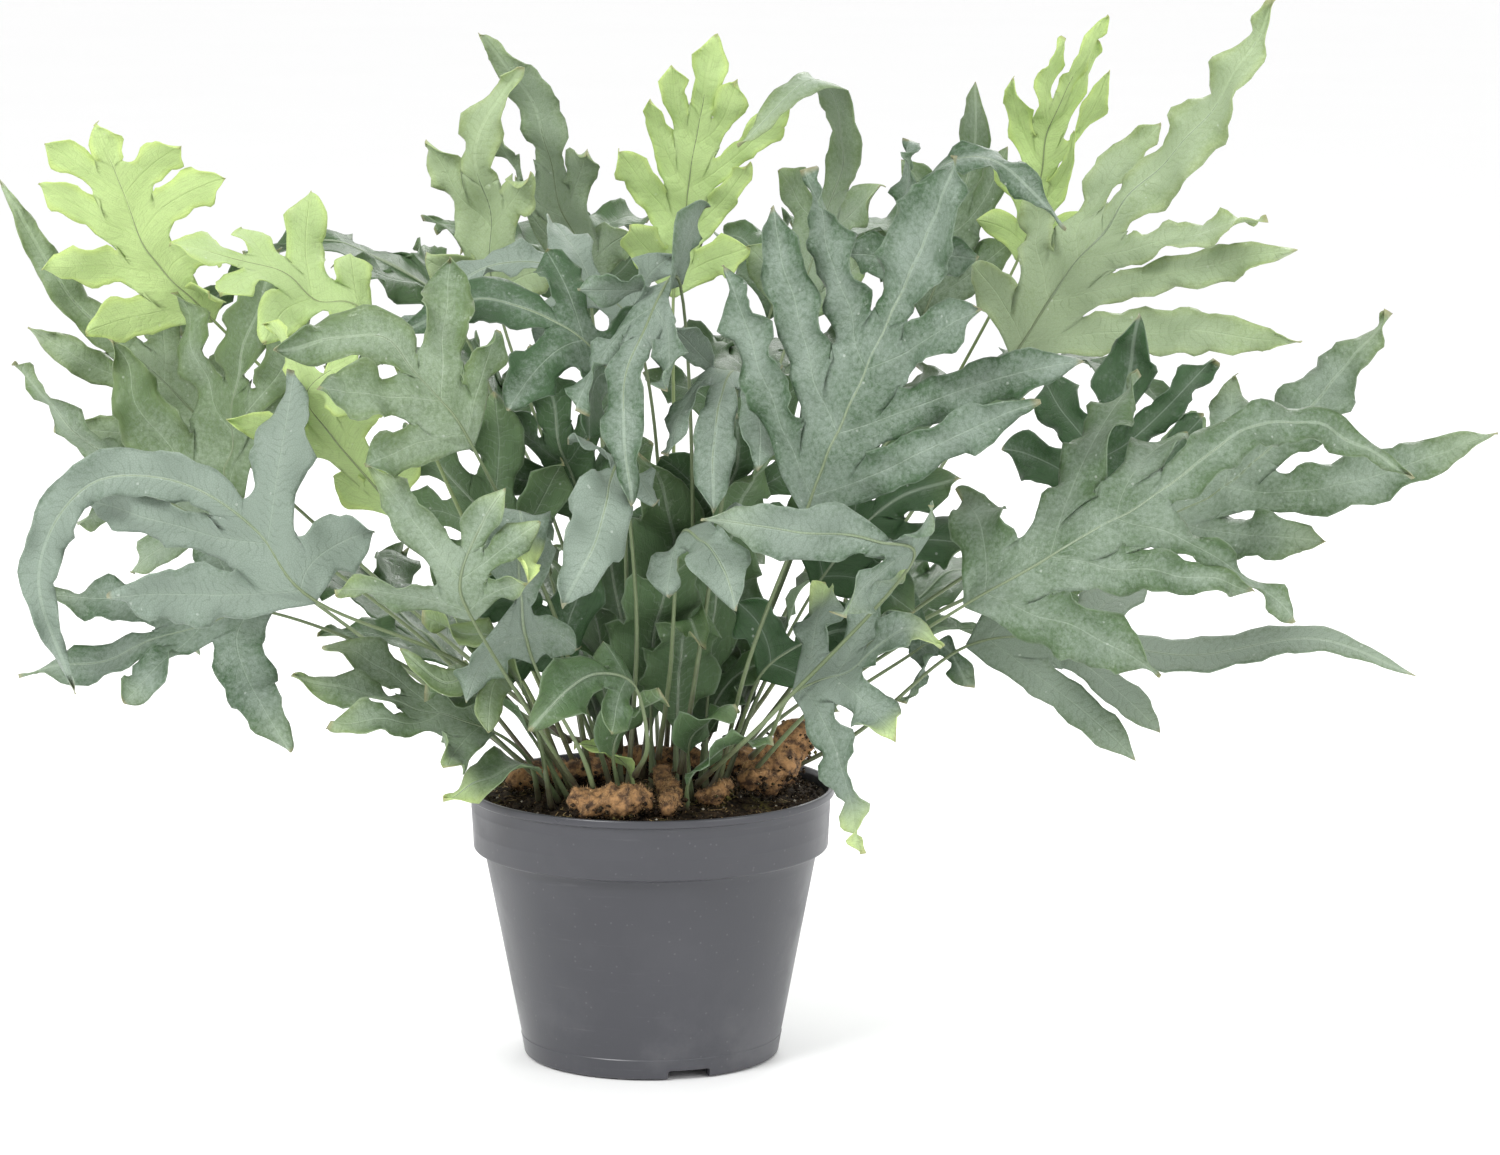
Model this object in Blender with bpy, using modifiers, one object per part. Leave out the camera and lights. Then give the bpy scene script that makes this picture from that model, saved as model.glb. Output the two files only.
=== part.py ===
"""Potted fern: a nursery pot of soil with creeping rhizomes and a spreading crown of lobed fronds.

The pot is one turned plastic shell.  The soil fills it, the rhizomes lie on the soil, and every frond is one
closed body: a thin stalk that widens into a deeply lobed blade.  Metres, +Z up, +X the longest way across.
"""
import math

import bpy
import numpy as np
from mathutils.bvhtree import BVHTree

for old in list(bpy.data.objects):
    bpy.data.objects.remove(old, do_unlink=True)

# ---- driving dimensions, metres ----
POT_HEIGHT = 0.126
POT_RIM_DIAMETER = 0.1705
POT_BASE_DIAMETER = 0.1175
POT_WALL = 0.0014
BAND_HEIGHT = 0.029
BAND_STEP = 0.0055
LIP_WIDTH = 0.0028
LIP_HEIGHT = 0.0040
FOOT_HEIGHT = 0.0045
FOOT_WIDTH = 0.0050
FLOOR_DISC_DIAMETER = 0.060
FLOOR_THICKNESS = 0.0016
DRAIN_HOLE_DIAMETER = 0.010
DRAIN_HOLE_COUNT = 6
NOTCH_WIDTH = 0.020
NOTCH_HEIGHT = 0.0042
NOTCH_COUNT = 3
FIRST_NOTCH_ANGLE = -72.0
SOIL_BELOW_RIM = 0.0050
SOIL_CROWN = 0.0060
SOIL_DEPTH = 0.085
RHIZOME_DIAMETER = 0.0135
PLANT_WIDTH = 0.700
PLANT_DEPTH = 0.500
PLANT_HEIGHT = 0.375
LOBE_WIDTH_SCALE = 1.0
LOBE_SPACING = 0.46
WEB_REACH = 1.3
STALK_DIAMETER = 0.0030
LEAF_THICKNESS = 0.0012
FIT_GAP = 0.0003
BACK_FRONDS = 9

# the crown below is laid out in centimetres for these sizes and stretched to the sizes above
LAYOUT_WIDTH = 70.0
LAYOUT_DEPTH = 50.0
LAYOUT_HEIGHT = 37.5
LAYOUT_RIM = 17.05
BACK_LOBE_LENGTH = 8.0

part = bpy.data.collections.new("potted_fern")
bpy.context.scene.collection.children.link(part)
tools = bpy.data.collections.new("cutters")
bpy.context.scene.collection.children.link(tools)


def material(name, colour, roughness, metallic=0.0):
    made = bpy.data.materials.new(name)
    made.use_nodes = True
    shader = made.node_tree.nodes["Principled BSDF"]
    shader.inputs["Base Color"].default_value = (*colour, 1.0)
    shader.inputs["Roughness"].default_value = roughness
    shader.inputs["Metallic"].default_value = metallic
    return made


def keep(thing, made):
    part.objects.link(thing)
    thing.data.materials.append(made)
    return thing


def turned(name, outline, steps, made):
    """Turn an outline (radius, height), run from top to bottom, about the vertical axis."""
    mesh = bpy.data.meshes.new(name)
    points = [(r, 0.0, z) for r, z in outline]
    mesh.from_pydata(points, [(k, k + 1) for k in range(len(points) - 1)], [])
    thing = bpy.data.objects.new(name, mesh)
    turn = thing.modifiers.new("turn", "SCREW")
    turn.axis = "Z"
    turn.angle = math.tau
    turn.steps = steps
    turn.render_steps = steps
    turn.use_merge_vertices = True
    turn.merge_threshold = 0.00001
    turn.use_smooth_shade = True
    turn.use_normal_calculate = True
    return keep(thing, made)


# ---- pot: an injection moulded plastic shell with a stepped band, a foot ring and drain holes ----
half_base = POT_BASE_DIAMETER / 2
half_rim = POT_RIM_DIAMETER / 2
band_top = half_rim - LIP_WIDTH * 0.6
taper = (half_rim - BAND_STEP - 0.0030 - half_base) / (POT_HEIGHT - BAND_HEIGHT)
band_low = POT_HEIGHT - BAND_HEIGHT
wall_at_band = half_base + taper * band_low
band_bottom = wall_at_band + BAND_STEP


def inner_radius(z):
    """Radius of the inside of the pot wall at a height above the ground."""
    if z >= band_low + POT_WALL:
        share = (z - band_low) / BAND_HEIGHT
        return band_bottom + (band_top - band_bottom) * share - POT_WALL
    return half_base + taper * z - POT_WALL


disc = FLOOR_DISC_DIAMETER / 2
floor_top = FOOT_HEIGHT + FLOOR_THICKNESS
pot_outline = [
    (0.0, FLOOR_THICKNESS),
    (disc - 0.0010, FLOOR_THICKNESS),
    (disc + 0.0020, floor_top),
    (half_base + taper * floor_top - POT_WALL, floor_top),
    (inner_radius(band_low - 0.0010), band_low - 0.0010),
    (inner_radius(band_low + POT_WALL), band_low + POT_WALL + 0.0006),
    (band_top - POT_WALL, POT_HEIGHT - LIP_HEIGHT * 0.5),
    (band_top - POT_WALL + 0.0006, POT_HEIGHT - 0.0004),
    (band_top + LIP_WIDTH * 0.2, POT_HEIGHT),
    (half_rim - 0.0006, POT_HEIGHT - 0.0006),
    (half_rim, POT_HEIGHT - LIP_HEIGHT * 0.45),
    (half_rim - 0.0005, POT_HEIGHT - LIP_HEIGHT * 0.85),
    (band_top, POT_HEIGHT - LIP_HEIGHT),
    (band_bottom, band_low + 0.0020),
    (band_bottom - 0.0008, band_low + 0.0004),
    (wall_at_band + 0.0012, band_low - 0.0006),
    (wall_at_band - 0.0001, band_low - 0.0030),
    (half_base + taper * 0.0100, 0.0100),
    (half_base + 0.0004, 0.0012),
    (half_base - 0.0008, 0.0),
    (half_base - FOOT_WIDTH + 0.0005, 0.0),
    (half_base - FOOT_WIDTH, 0.0006),
    (half_base - FOOT_WIDTH - 0.0010, FOOT_HEIGHT),
    (disc + 0.0032, FOOT_HEIGHT),
    (disc + 0.0004, 0.0),
    (0.0, 0.0),
]
pot = turned("pot", pot_outline, 56, material("pot_plastic", (0.055, 0.058, 0.065), 0.42))


def cut(target, thing):
    step = target.modifiers.new(thing.name, "BOOLEAN")
    step.operation = "DIFFERENCE"
    step.solver = "EXACT"
    step.object = thing


def as_tool(name):
    """Make the shape just added a cutter: scale applied, kept with the cutters and left out of the part."""
    thing = bpy.context.object
    thing.name = name
    bpy.ops.object.transform_apply(location=False, rotation=False, scale=True)
    for group in list(thing.users_collection):
        group.objects.unlink(thing)
    tools.objects.link(thing)
    thing.hide_render = True
    thing.display_type = "WIRE"
    return thing


hole_ring = (disc + half_base - FOOT_WIDTH) / 2
for k in range(DRAIN_HOLE_COUNT):
    angle = math.tau * (k + 0.35) / DRAIN_HOLE_COUNT
    place = (hole_ring * math.cos(angle), hole_ring * math.sin(angle), floor_top)
    bpy.ops.mesh.primitive_cylinder_add(vertices=16, radius=DRAIN_HOLE_DIAMETER / 2,
                                        depth=4 * FLOOR_THICKNESS, location=place)
    cut(pot, as_tool(f"drain_hole_{k + 1}"))
for k in range(NOTCH_COUNT):
    angle = math.radians(FIRST_NOTCH_ANGLE) + math.tau * k / NOTCH_COUNT
    reach = half_base - FOOT_WIDTH / 2
    place = (reach * math.cos(angle), reach * math.sin(angle), 0.0)
    bpy.ops.mesh.primitive_cube_add(size=1.0, location=place, rotation=(0.0, 0.0, angle))
    bpy.context.object.scale = (3 * FOOT_WIDTH, NOTCH_WIDTH, 2 * NOTCH_HEIGHT)
    cut(pot, as_tool(f"foot_notch_{k + 1}"))

# ---- soil: a plug of dark potting soil with a gently crowned top ----
soil_edge = POT_HEIGHT - SOIL_BELOW_RIM
soil_floor = max(soil_edge - SOIL_DEPTH, floor_top + FIT_GAP)


def soil_radius(z):
    return inner_radius(z) - FIT_GAP


def soil_height(x, y):
    share = min(1.0, math.hypot(x, y) / soil_radius(soil_edge))
    return soil_edge + SOIL_CROWN * (1.0 - share * share)


soil_outline = []
for k in range(7):
    r = soil_radius(soil_edge) * k / 6.0
    soil_outline.append((r, soil_height(r, 0.0)))
soil_outline += [
    (soil_radius(band_low + 0.0040), band_low + 0.0040),
    (soil_radius(band_low - 0.0010) - 0.0002, band_low + 0.0040),
    (soil_radius(band_low - 0.0010) - 0.0002, band_low - 0.0010),
    (soil_radius(soil_floor), soil_floor),
    (0.0, soil_floor),
]
turned("soil", soil_outline, 40, material("potting_soil", (0.035, 0.024, 0.015), 0.95))

# ---- rhizomes: furry creeping stems that lie on the soil, each a rounded tube along a bend ----
# name, thickness against the usual, points (x, y, lift above the soil) in layout centimetres
RHIZOMES = [
    ("rhizome_front", 1.15, [(-3.4, -6.3, 0.0), (-2.0, -6.7, 0.0), (-0.9, -6.6, 0.0), (-0.1, -5.9, 0.1)]),
    ("rhizome_middle", 0.80, [(0.9, -6.9, 0.0), (0.95, -5.6, 0.0), (0.8, -4.2, 0.2), (0.5, -3.2, 0.7)]),
    ("rhizome_right", 1.55, [(4.3, -3.4, 0.0), (5.3, -2.7, 0.2), (6.2, -2.0, 1.1), (6.9, -1.5, 2.3)]),
    ("rhizome_small", 0.70, [(2.2, -4.6, 0.0), (3.0, -4.4, 0.0), (3.6, -3.7, 0.4)]),
    ("rhizome_left", 0.95, [(-6.4, -1.2, 0.0), (-5.0, -0.8, 0.0), (-3.4, -0.6, 0.0), (-2.0, -1.2, 0.2)]),
    ("rhizome_back", 1.00, [(-3.0, 3.2, 0.0), (-1.0, 2.0, 0.0), (1.6, 1.2, 0.0), (3.4, 1.4, 0.1), (5.2, 2.6, 0.2)]),
]
CM = 0.01
pot_scale = 2 * soil_radius(soil_edge) / (LAYOUT_RIM - 0.9)
fur = material("rhizome_fur", (0.34, 0.17, 0.06), 0.9)
rhizome_lines = []
for name, share, points in RHIZOMES:
    radius = RHIZOME_DIAMETER / 2 * share
    shape = bpy.data.curves.new(name, "CURVE")
    shape.dimensions = "3D"
    shape.bevel_depth = radius
    shape.bevel_resolution = 1
    shape.resolution_u = 4
    shape.render_resolution_u = 4
    shape.use_fill_caps = True
    spline = shape.splines.new("BEZIER")
    spline.bezier_points.add(len(points) - 1)
    for k, (x, y, lift) in enumerate(points):
        px, py = x * pot_scale, y * pot_scale
        knot = spline.bezier_points[k]
        knot.co = (px, py, soil_height(px, py) + radius * 1.06 + 0.0008 + lift * CM)
        knot.handle_left_type = "AUTO"
        knot.handle_right_type = "AUTO"
        knot.radius = 0.62 if k in (0, len(points) - 1) else 1.0 + 0.06 * math.sin(2.4 * k)
        rhizome_lines.append((px, py, knot.co[2], radius))
    body = bpy.data.objects.new(name, shape)
    for drawn in shape.splines:
        drawn.use_smooth = True
    keep(body, fur)

# ---- crown of fronds ----
# name, tone, foot (x, y), lobe width, web width, end lobe width, share of blade before the end lobe, sag,
# stalk points, blade points, lobe tips in pairs.  Layout centimetres; heights are measured from the soil edge.
# A missing tip mirrors the tip on the other side.
FRONDS = [
    ["frond_lime_left", "lime", (-4, 1.5), 2.7, 1.3, 2.0, 0.8, 0.1,
     [(-6, 3, 4.4), (-12.5, 5, 13.4), (-20.5, 6, 21.4)],
     [(-23.5, 5, 24.9), (-24.5, 4, 27.9), (-25.5, 3, 30.9)],
     [((-26.5, 6, 20.9), (-20.5, 4, 22.9)), ((-28.5, 6, 23.9), (-19.5, 3, 24.9)),
      ((-28.5, 5, 27.9), (-19.5, 2, 28.4)), ((-28, 4, 29.9), (-21.5, 2, 29.9))]],
    ["frond_lime_fold", "lime", (-3.2, 0.5), 2.5, 0.72, 2.6, 0.66, 0.15,
     [(-5, 0, 4.9), (-9, -2, 14.4), (-12.5, -3, 22.4)],
     [(-15, -3, 23.4), (-17, -3, 24.9), (-21.5, -4, 25.9)],
     [((-12.5, -6, 20.9), (-13.5, -1, 25.4)), ((-17, -6, 21.9), (-15.5, 1, 27.9)),
      ((-19, -6, 23.9), (-18.5, -1, 26.4))]],
    ["frond_lime_top", "lime", (0.6, 3), 2.4, 0.66, 2.4, 0.68, 0.0,
     [(1, 5, 6.9), (1, 7, 15.9), (1, 7, 22.4)],
     [(1.5, 7, 25.9), (2, 6, 29.4), (3, 4, 34.9)],
     [((-1, 5, 25.9), (4.5, 5, 24.9)), ((-1.5, 5, 29.4), (4.5, 4, 28.9)),
      ((0, 5, 31.9), (6.5, 3, 31.9)), ((1, 4, 33.4), (4, 3, 32.9))]],
    ["frond_lime_right", "lime", (2.6, 3.8), 1.5, 0.48, 1.4, 0.64, 0.05,
     [(6, 7, 4.4), (12.5, 12, 14.4), (17.5, 14, 23.4)],
     [(18.5, 13, 27.4), (19, 12, 30.4), (21.5, 10, 35.4)],
     [((15.5, 14, 25.4), (21, 12, 25.9)), ((16, 12, 28.9), (20, 11, 29.9)),
      ((17, 11, 32.4), (21.5, 9, 32.9)), ((19.5, 10, 34.4), None)]],
    ["frond_lime_curl", "lime", (-3.6, -1.6), 1.7, 0.6, 1.7, 0.84, 0.2,
     [(-6, -3, 6.4), (-11, -5, 13.9)],
     [(-14, -6, 17.9), (-15, -6, 19.9), (-12.5, -8, 21.9)],
     [((-14, -5, 15.9), (-10, -6, 17.4)), ((-18.6, -6, 18.7), (-11, -8, 19.9)),
      ((-16.9, -4, 22.8), None)]],
    ["frond_front_broad", "mature", (3, -3), 2.9, 1.2, 4.4, 0.52, 0.2,
     [(4.5, -7, 7.4), (7, -12, 14.9)],
     [(8.5, -13, 18.9), (11, -13, 24.4), (13.5, -15, 30.9)],
     [((3.5, -12, 25.9), (17, -16, 20.4)), ((5.5, -11, 28.4), (19, -14, 21.9)),
      ((7, -10, 29.9), (14.5, -16, 24.4))]],
    ["frond_front_low", "mature", (2.2, -4.4), 2.4, 1.0, 2.7, 0.3, 0.2,
     [(5.5, -9, 5.4), (11.5, -14, 12.9)],
     [(10, -16, 14.4), (6.5, -16.5, 14.9), (2.5, -16, 15.4)],
     [((12.5, -16, 15.9), (8.5, -18, 11.4))]],
    ["frond_right_main", "mature", (3.8, -2.2), 2.8, 1.2, 2.2, 0.42, 0.25,
     [(8, -7, 5.9), (14, -12, 10.9)],
     [(18, -13, 13.4), (22.5, -12, 15.9), (26.5, -10, 18.4), (30, -9, 18.4), (34, -8, 15.9)],
     [((14, -8, 14.9), (22.5, -15, 8.4)), ((22, -7, 20.4), (26.5, -14, 11.9)),
      ((24, -8, 17.9), (28.5, -13, 10.4))]],
    ["frond_left_main", "mature", (-3, -3.2), 3.0, 1.4, 2.4, 0.22, 0.15,
     [(-7.5, -7, 6.9), (-14.5, -11, 10.9)],
     [(-17, -11, 13.9), (-20, -10, 15.9), (-24.5, -9, 15.9), (-27, -9, 11.9), (-25.5, -9, 6.4)],
     [((-23.5, -13, 11.4), (-12, -10, 13.9)), ((-25.5, -7, 14.9), (-15.5, -9, 20.9))]],
    ["frond_left_low", "mature", (-4.2, -2.4), 2.5, 1.0, 2.5, 0.42, 0.2,
     [(-10.5, -4, 6.4), (-17, -5, 9.4)],
     [(-20, -5, 8.9), (-24, -5, 7.4), (-28.5, -5, 6.4)],
     [((-16, -9, 3.9), (-20.5, -1, 12.9)), ((-23.5, -8, 5.9), (-28, -2, 9.4))]],
    ["frond_left_rim", "mature", (-5, -3), 2.2, 0.9, 2.0, 0.42, 0.2,
     [(-5.5, -4, 2.4), (-7, -5, 3.9)],
     [(-9.5, -6, 4.9), (-12, -7, 5.9), (-16, -8, 6.9)],
     [((-9, -9, 2.9), (-8.5, -3, 6.9)), ((-14, -10, 5.4), None)]],
    ["frond_fold_lime", "mature", (-2.2, -5.2), 2.3, 1.3, 3.1, 0.37, 0.2,
     [(-3, -8, 3.4), (-5, -12, 7.9)],
     [(-5.5, -15, 11.4), (-5.5, -17, 14.9), (-5, -20, 12.4)],
     [((-3, -14, 8.9), (-8, -12, 6.4))]],
    ["frond_light_hang", "mature", (-1, -4.2), 2.4, 1.2, 3.0, 0.25, 0.2,
     [(-0.5, -6, 8.9), (-1, -9, 16.4)],
     [(-1.5, -12, 16.4), (-2, -14, 14.4), (-3.5, -16, 11.4)],
     [((0.5, -12, 15.4), (-3.5, -10, 17.9))]],
    ["frond_centre_low", "mature", (-0.6, -5.6), 2.8, 1.4, 3.0, 0.3, 0.15,
     [(-0, -8, 3.9), (-0.5, -10, 6.9)],
     [(-2, -12, 7.9), (-3.5, -14, 7.4), (-5, -15, 5.9)],
     [((-2, -10, 8.9), (-1.5, -13, 5.4))]],
    ["frond_hang_long", "mature", (1.6, -1.6), 2.0, 0.8, 2.1, 0.36, 0.2,
     [(2, -2, 13.4), (1.5, -5, 24.4)],
     [(-0, -8, 22.9), (-1, -10, 20.4), (-0.5, -12, 15.4)],
     [((2.5, -3, 27.9), (-3, -7, 24.4)), ((1, -11, 20.4), (-3, -10, 19.4))]],
    ["frond_centre_wave", "mature", (1.4, -4), 2.5, 0.96, 2.7, 0.3, 0.2,
     [(2.5, -6, 8.9), (4, -9, 19.4)],
     [(3.5, -12, 20.4), (3, -14, 17.9), (3, -15, 14.9)],
     [((6, -11, 20.9), (1, -12, 22.9)), ((5, -15, 16.9), (1, -14, 17.4))]],
    ["frond_centre_grey", "mature", (0.4, -3.4), 2.6, 1.3, 2.8, 0.35, 0.2,
     [(1, -6, 6.9), (1.5, -10, 13.4)],
     [(2.5, -13, 13.9), (3.5, -15, 12.9), (4, -16, 11.4)],
     [((1, -13, 11.4), (5.5, -13, 14.4))]],
    ["frond_rim_right", "mature", (4.6, -3.8), 2.3, 1.0, 2.0, 0.45, 0.2,
     [(5.5, -6, 3.9), (6.5, -9, 6.4)],
     [(9, -11, 7.9), (11.5, -12, 9.9), (13, -12, 8.9)],
     [((8, -6, 10.9), (9.5, -13, -0.1)), ((11.5, -8, 12.9), (11, -14, 5.4))]],
    ["frond_right_droop", "mature", (5.3, -0.4), 1.8, 0.56, 1.6, 0.4, 0.2,
     [(8, -4, 3.9), (12, -7, 6.4)],
     [(13, -8, 6.9), (14, -9, 6.4), (14.5, -10, 4.9)],
     [((9, -9, 9.9), (11.5, -10, 4.4))]],
    ["frond_right_low", "mature", (5, 0.4), 2.5, 1.0, 2.4, 0.3, 0.2,
     [(9.5, 0, 2.9), (14.5, -2, 7.4)],
     [(19.5, -3, 7.9), (24.5, -4, 7.4), (30, -5, 8.4), (34.5, -6, 6.9)],
     [((17.5, 2, 10.9), (22, -6, 2.9)), ((23.5, 3, 10.4), (23, -7, 4.4))]],
    ["frond_right_tip", "mature", (4.6, 1), 2.6, 1.0, 3.0, 0.42, 0.1,
     [(12, 5, 6.9), (23, 7, 11.4)],
     [(27, 7, 13.4), (30.5, 6, 16.9), (34.5, 5, 21.9)],
     [((25.5, 9, 16.4), (31.5, 3, 11.4)), ((27.5, 9, 18.4), (39.5, 4, 16.4))]],
    ["frond_top_right", "mature", (3.4, 2.8), 2.3, 1.3, 3.2, 0.34, 0.08,
     [(8.5, 5, 6.9), (17, 8, 19.4)],
     [(19.5, 8, 23.4), (23, 8, 27.4), (26, 7, 30.9), (29, 6, 36.4)],
     [((15, 9, 23.9), (30.5, 5, 20.4)), ((18, 9, 27.4), (30, 5, 24.9)),
      ((24, 10, 30.4), (28.5, 4, 26.4))]],
    ["frond_dark_right", "mature", (4.2, -0.6), 2.7, 1.2, 2.9, 0.42, 0.1,
     [(11, -1, 7.9), (19, -3, 13.9)],
     [(20.5, -4, 16.9), (21.5, -4, 19.4), (22, -5, 22.9)],
     [((16, -2, 16.4), (25, -5, 18.4)), ((18, -1, 19.4), (25.5, -4, 20.9))]],
    ["frond_arch_right", "mature", (2.4, 1.2), 2.0, 0.9, 1.8, 0.3, 0.1,
     [(6, 2, 9.4), (11, 3, 23.4)],
     [(12.5, 2, 27.9), (15.5, 1, 29.4), (19, -1, 26.4)],
     [((9, 4, 24.9), (15, 1, 24.9)), ((12, 6, 29.9), None)]],
    ["frond_back_right", "mature", (3.2, 4.4), 2.2, 1.1, 2.4, 0.5, 0.1,
     [(7, 8, 8.4), (13, 11, 20.4)],
     [(14.5, 11, 24.9), (15.5, 10, 28.4), (15.5, 8, 31.9)],
     [((10.5, 12, 24.4), (17.5, 9, 24.4)), ((12, 12, 27.9), (17, 7, 28.9))]],
    ["frond_arch_top", "mature", (1.6, 1.8), 2.4, 1.2, 2.6, 0.36, 0.15,
     [(3.5, 4, 11.4), (6.5, 7, 20.9)],
     [(8, 7, 25.9), (9, 6, 29.9), (7.5, 4, 32.9), (4, 2, 29.9)],
     [((4.5, 8, 24.9), (10, 5, 24.4)), ((6, 9, 28.4), (10.5, 4, 27.9))]],
    ["frond_strip_tall", "mature", (-1.6, 2.4), 2.2, 1.1, 2.0, 0.5, 0.1,
     [(-3.5, 4, 11.4), (-7, 6, 21.4)],
     [(-7.5, 6, 25.9), (-8, 5, 29.9), (-6, 4, 33.4)],
     [((-10.5, 6, 24.4), (-4.5, 4, 23.9)), ((-10.5, 6, 29.9), (-5.5, 3, 28.4))]],
    ["frond_strip_high", "mature", (-0.6, 3.6), 2.1, 1.0, 2.2, 0.4, 0.1,
     [(-2, 6, 10.9), (-3, 9, 22.4)],
     [(-4.5, 9, 26.9), (-5.5, 8, 31.4), (-8, 6, 34.9)],
     [((-6.5, 9, 27.9), (-1, 8, 25.4)), ((-7.5, 8, 30.4), (-3, 7, 29.4))]],
    ["frond_arch_grey", "mature", (-0.4, 0.6), 1.8, 0.8, 1.7, 0.34, 0.15,
     [(0.5, 0, 11.9), (-0.5, -1, 21.4)],
     [(-3.5, -2, 24.4), (-7.5, -2, 24.9), (-11.5, -3, 21.4)],
     [((-1, -4, 19.4), (1, 2, 24.9)), ((-5, -5, 21.4), (-4.5, 2, 26.4))]],
    ["frond_arch_dark", "mature", (-1.4, -0.8), 2.6, 1.2, 2.6, 0.34, 0.15,
     [(-1, -4, 10.4), (-1.5, -7, 19.9)],
     [(-4, -8, 22.9), (-7.5, -8, 23.9), (-11, -9, 22.4)],
     [((-2.5, -10, 17.9), (0.5, -5, 22.9)), ((-6, -11, 19.4), (-4.5, -5, 25.9))]],
    ["frond_olive_arch", "mature", (-2.6, -1.8), 3.0, 1.5, 2.8, 0.36, 0.1,
     [(-4, -6, 8.9), (-7.5, -12, 17.9)],
     [(-9.5, -13, 20.9), (-11.5, -13, 22.9), (-16, -14, 22.4)],
     [((-12, -15, 17.4), (-6.5, -11, 22.9)), ((-14, -16, 20.9), (-8.5, -10, 25.9))]],
    ["frond_left_broad", "mature", (-4.6, 0.4), 2.9, 1.3, 2.8, 0.4, 0.05,
     [(-10, 2, 6.4), (-19, 3, 13.4)],
     [(-19.5, 3, 15.9), (-19, 2, 19.9), (-17, 0, 25.4)],
     [((-25, 3, 20.9), (-14.5, 1, 19.4)), ((-22, 5, 22.9), (-15.5, -1, 22.4))]],
    ["frond_left_twist", "mature", (-3.8, 3.2), 1.8, 0.8, 1.6, 0.4, 0.1,
     [(-10.5, 6, 6.9), (-20, 9, 14.9)],
     [(-23.5, 9, 18.4), (-27.5, 8, 22.4), (-30.5, 7, 27.9)],
     [((-28.5, 9, 15.9), (-19, 9, 21.4)), ((-29.5, 8, 20.9), (-23.5, 10, 23.9))]],
    ["frond_left_thin", "mature", (-5, 1.8), 1.7, 0.7, 1.5, 0.4, 0.15,
     [(-11.5, 5, 4.9), (-20.5, 8, 10.9)],
     [(-23.5, 8, 12.9), (-26.5, 7, 15.4), (-30, 6, 19.4)],
     [((-25, 9, 8.9), (-20, 7, 15.9)), ((-27.5, 9, 11.4), (-23.5, 6, 18.9))]],
    ["frond_small_left", "mature", (-4.4, -4.4), 1.7, 0.7, 1.5, 0.4, 0.1,
     [(-5, -6, 3.9), (-6, -8, 6.4)],
     [(-7.5, -9, 7.4), (-9, -10, 6.9), (-11, -10, 8.4)],
     [((-7, -11, 4.9), (-9, -7, 9.9))]],
    ["frond_curly_left", "mature", (-2.8, -4), 1.9, 0.9, 1.8, 0.5, 0.15,
     [(-5, -8, 4.9), (-7.5, -13, 10.4)],
     [(-8, -14, 12.4), (-7, -14, 14.9), (-6, -14, 16.4)],
     [((-5, -15, 12.4), (-13.5, -14, 11.9)), ((-4.5, -14, 14.9), (-12, -13, 17.4))]],
    ["frond_inner_left", "mature", (-2, 0.8), 3.0, 1.4, 3.0, 0.5, 0.2,
     [(-4, 2, 5.4), (-6, 2, 9.9)],
     [(-8, 1, 13.4), (-10, 0, 15.9), (-11, -1, 17.4)],
     [((-10, 4, 8.9), (-4, 0, 15.4)), ((-12, 3, 12.4), (-7, -1, 18.9))]],
    ["frond_inner_high", "mature", (-0.9, 1.6), 3.0, 0.84, 2.8, 0.5, 0.2,
     [(-2, 2, 5.4), (-3, 2, 12.4)],
     [(-4, 1, 15.9), (-4.5, 0, 18.4), (-5.5, -1, 20.9)],
     [((-7.5, 2, 14.9), (0, 1, 16.4)), ((-8, 1, 18.4), (-1, -1, 19.4))]],
    ["frond_inner_centre", "mature", (1, 0.4), 3.0, 1.12, 2.8, 0.5, 0.2,
     [(2, 1, 5.9), (2.5, 1, 11.4)],
     [(3, 0, 14.4), (4, -1, 16.9), (4, -2, 19.9)],
     [((-1, 1, 13.9), (7, 0, 13.9)), ((0.5, -1, 17.4), (7.5, -1, 17.4))]],
    ["frond_inner_right", "mature", (3.3, -1), 3.0, 1.4, 2.8, 0.5, 0.2,
     [(5, -1, 4.9), (7.5, -2, 9.9)],
     [(9.5, -2, 12.4), (11.5, -3, 14.4), (14, -4, 15.4)],
     [((7, 0, 14.4), (12, -5, 9.4)), ((9.5, -1, 16.9), (15, -5, 12.4))]],
    ["frond_inner_low", "mature", (2.6, -2.8), 2.8, 1.3, 2.8, 0.45, 0.2,
     [(4, -3, 3.4), (5, -5, 6.4)],
     [(6.5, -6, 7.9), (8.5, -7, 8.9), (10, -8, 8.9)],
     [((4, -5, 9.9), (8.5, -8, 5.4))]],
    ["frond_inner_front", "mature", (-1.7, -2.4), 2.8, 1.3, 2.8, 0.45, 0.2,
     [(-2.5, -3, 3.4), (-3.5, -4, 6.4)],
     [(-5, -5, 8.9), (-6.5, -6, 10.4), (-9, -7, 10.9)],
     [((-7, -5, 6.4), (-2.5, -5, 11.9))]],
]

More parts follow.
